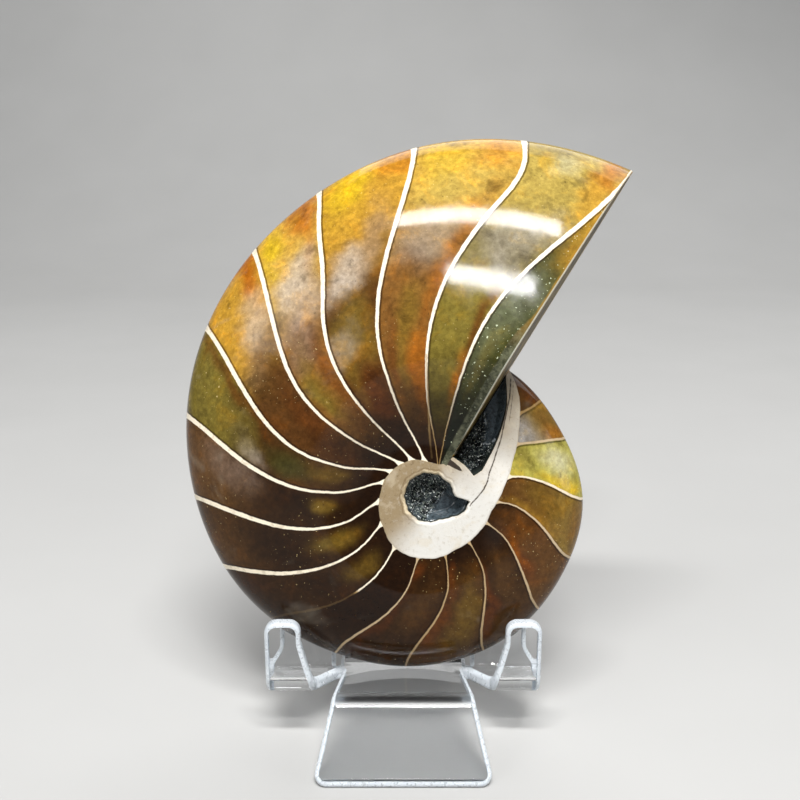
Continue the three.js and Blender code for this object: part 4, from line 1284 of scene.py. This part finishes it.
def mouth_colour(look):
    """The cut at the mouth: a thin golden rim, the shell's own wall and what fills the last chamber."""
    edge = look.value("lip") + look.wobble(0.15, 1.2, 3, 0.6, 0, 31)
    colour = look.mix(look.noise(4, 7, 0.65, 0.5, 32).fade(0.35, 0.62), MUD_DARK, MUD_PALE)
    colour = colour.under(MUD_BLACK, look.noise(0.9, 4, 0.7, 0, 33).fade(0.5, 0.32, 0, 0.7))
    colour = colour.under(DARK_LINE, edge.fade(1.5, 1.2, 0, 0.8))
    return colour.under(CREAM, edge.fade(1.2, 1.0)).under(GOLD, edge.fade(0.5, 0.3))


def shell_material():
    look = Look("polished_fossil")
    hollow, back, mouth, depth = [look.value(name) for name in ("hollow", "back", "mouth", "depth")]
    colour, line = flank_colour(look)
    on_band = look.value("band_edge").fade(0.07, -0.07)
    colour = colour.under(band_colour(look), on_band)
    rock = look.mix(look.noise(1.4, 4, 0.7, 0, 41), ROCK_DARK, ROCK_PALE)
    cream_wall = look.mix(look.noise(0.9, 4, 0.6, 0, 42).fade(0.4, 0.6), IVORY, TAN)
    sunk = depth + look.wobble(0.5, 1.2, 3, 0.6, 0, 43)
    in_pocket = look.value("pocket") * depth.fade(0.03, 0.12)
    colour = colour.under(cream_wall.under(rock, sunk.fade(0.5, 1.1)), hollow)
    colour = colour.under(cream_wall.under(rock, sunk.fade(0.35, 0.6)), in_pocket)
    colour = colour.under(back_colour(look), back).under(mouth_colour(look), mouth)
    polish = look.math("MAXIMUM", look.noise(2.5, 4, 0.6, 0.4, 44).fade(0.3, 0.7, 0.06, 0.13), line * 0.28)
    matte = on_band
    for part in (hollow, in_pocket, mouth):
        matte = look.math("MAXIMUM", matte, part)
    matte = matte * (1.0 - back)
    look.bump(look.noise(0.7, 5, 0.65, 0, 45) * (matte * 0.95 + 0.05), 0.12, 0.6)
    rough = matte.fade(0, 1, polish, 0.5)
    return look.wire(Base_Color=colour, Roughness=rough, IOR=1.52, Specular_IOR_Level=0.16)


def crystal_material():
    look = Look("dark_crystal")
    calm = look.value("calm")
    colour = look.mix(look.value("tone").fade(0.2, 0.8), CRYSTAL_DARK, CRYSTAL_PALE)
    colour = colour.under(CRYSTAL_FACE, look.noise(0.5, 2, 0.6, 0, 51).fade(0.52, 0.64, 0, 0.75))
    colour = colour.under(CRYSTAL_GLINT, look.noise(0.36, 1, 0.5, 0, 50).fade(0.63, 0.66))
    # Painted shade: large near-black patches, as if shade fell deep between the crystals.
    colour = colour.under(CRYSTAL_GAP_SHADE, look.noise(2.5, 3, 0.6, 0, 52).fade(0.55, 0.3, 0, 0.7))
    sheen = look.mix(look.noise(0.7, 5, 0.7, 0.5, 54).fade(0.35, 0.65), SHEEN_DARK, SHEEN_PALE)
    seam = abs(calm - 0.4).fade(0.22, 0.05) * look.noise(0.6, 3, 0.6, 0, 55).fade(0.48, 0.6)
    colour = colour.under(sheen, calm).under(SEAM, seam * 0.7)
    rough = look.noise(0.8, 2, 0.5, 0, 53).fade(0.3, 0.7, 0.06, 0.28)
    return look.wire(Base_Color=colour, Roughness=rough, IOR=1.55)


def clear_material():
    look = Look("clear_plastic")
    rough = look.noise(1.5, 6, 0.7, 0.5, 61).fade(0.35, 0.75, 0.015, 0.06)
    look.bump(look.noise(9, 2, 0.5, 0, 62), 0.01, 0.5)
    absorb = look.node("VolumeAbsorption", {"Color": (0.84, 0.92, 0.97), "Density": 3})
    look.put(look.tree.nodes["Material Output"].inputs["Volume"], absorb)
    rough = look.value("bend").fade(0, 1, rough, 0.3)
    return look.wire(Base_Color=(0.985, 0.993, 1.0), Roughness=rough, IOR=1.49, Transmission_Weight=1.0)


def cut_edge_material():
    """The stand's sawn and buffed edges, which let light out and look paler than its faces."""
    look = Look("clear_plastic_edge")
    rough = look.noise(0.8, 5, 0.7, 0.5, 63).fade(0.3, 0.7, 0.22, 0.4)
    colour = look.mix(look.noise(2, 3, 0.6, 0, 64), SAWN_DARK, SAWN_PALE)
    return look.wire(Base_Color=colour, Roughness=rough, IOR=1.49, Transmission_Weight=0.3)


def floor_material():
    look = Look("pale_floor")
    colour = look.mix(look.noise(60, 3, 0.5, 0, 71), (0.42, 0.416, 0.405), (0.46, 0.456, 0.445))
    return look.wire(Base_Color=colour, Roughness=0.8, Specular_IOR_Level=0.2)


shell.data.materials.append(shell_material())
crystal = crystal_material()
for piece in (hollow_crust, pocket_crust):
    piece.data.materials.append(crystal)
stand.data.materials.append(clear_material())
stand.data.materials.append(cut_edge_material())
on_edge = np.zeros(len(stand.data.vertices), np.float32)
stand.data.attributes["cut_edge"].data.foreach_get("value", on_edge)
for face in stand.data.polygons:
    face.material_index = int(any(on_edge[i] > 0.5 for i in face.vertices))
floor.data.materials.append(floor_material())

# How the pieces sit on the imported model.
for piece, node, slot in (
    (shell, "fossil_shell_half", "polished_fossil"),
    (hollow_crust, "umbilical_crystal_crust", "dark_crystal"),
    (pocket_crust, "mouth_crystal_crust", "dark_crystal"),
    (stand, "display_stand", "clear_plastic"),
):
    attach(piece, "root")
    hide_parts(node)
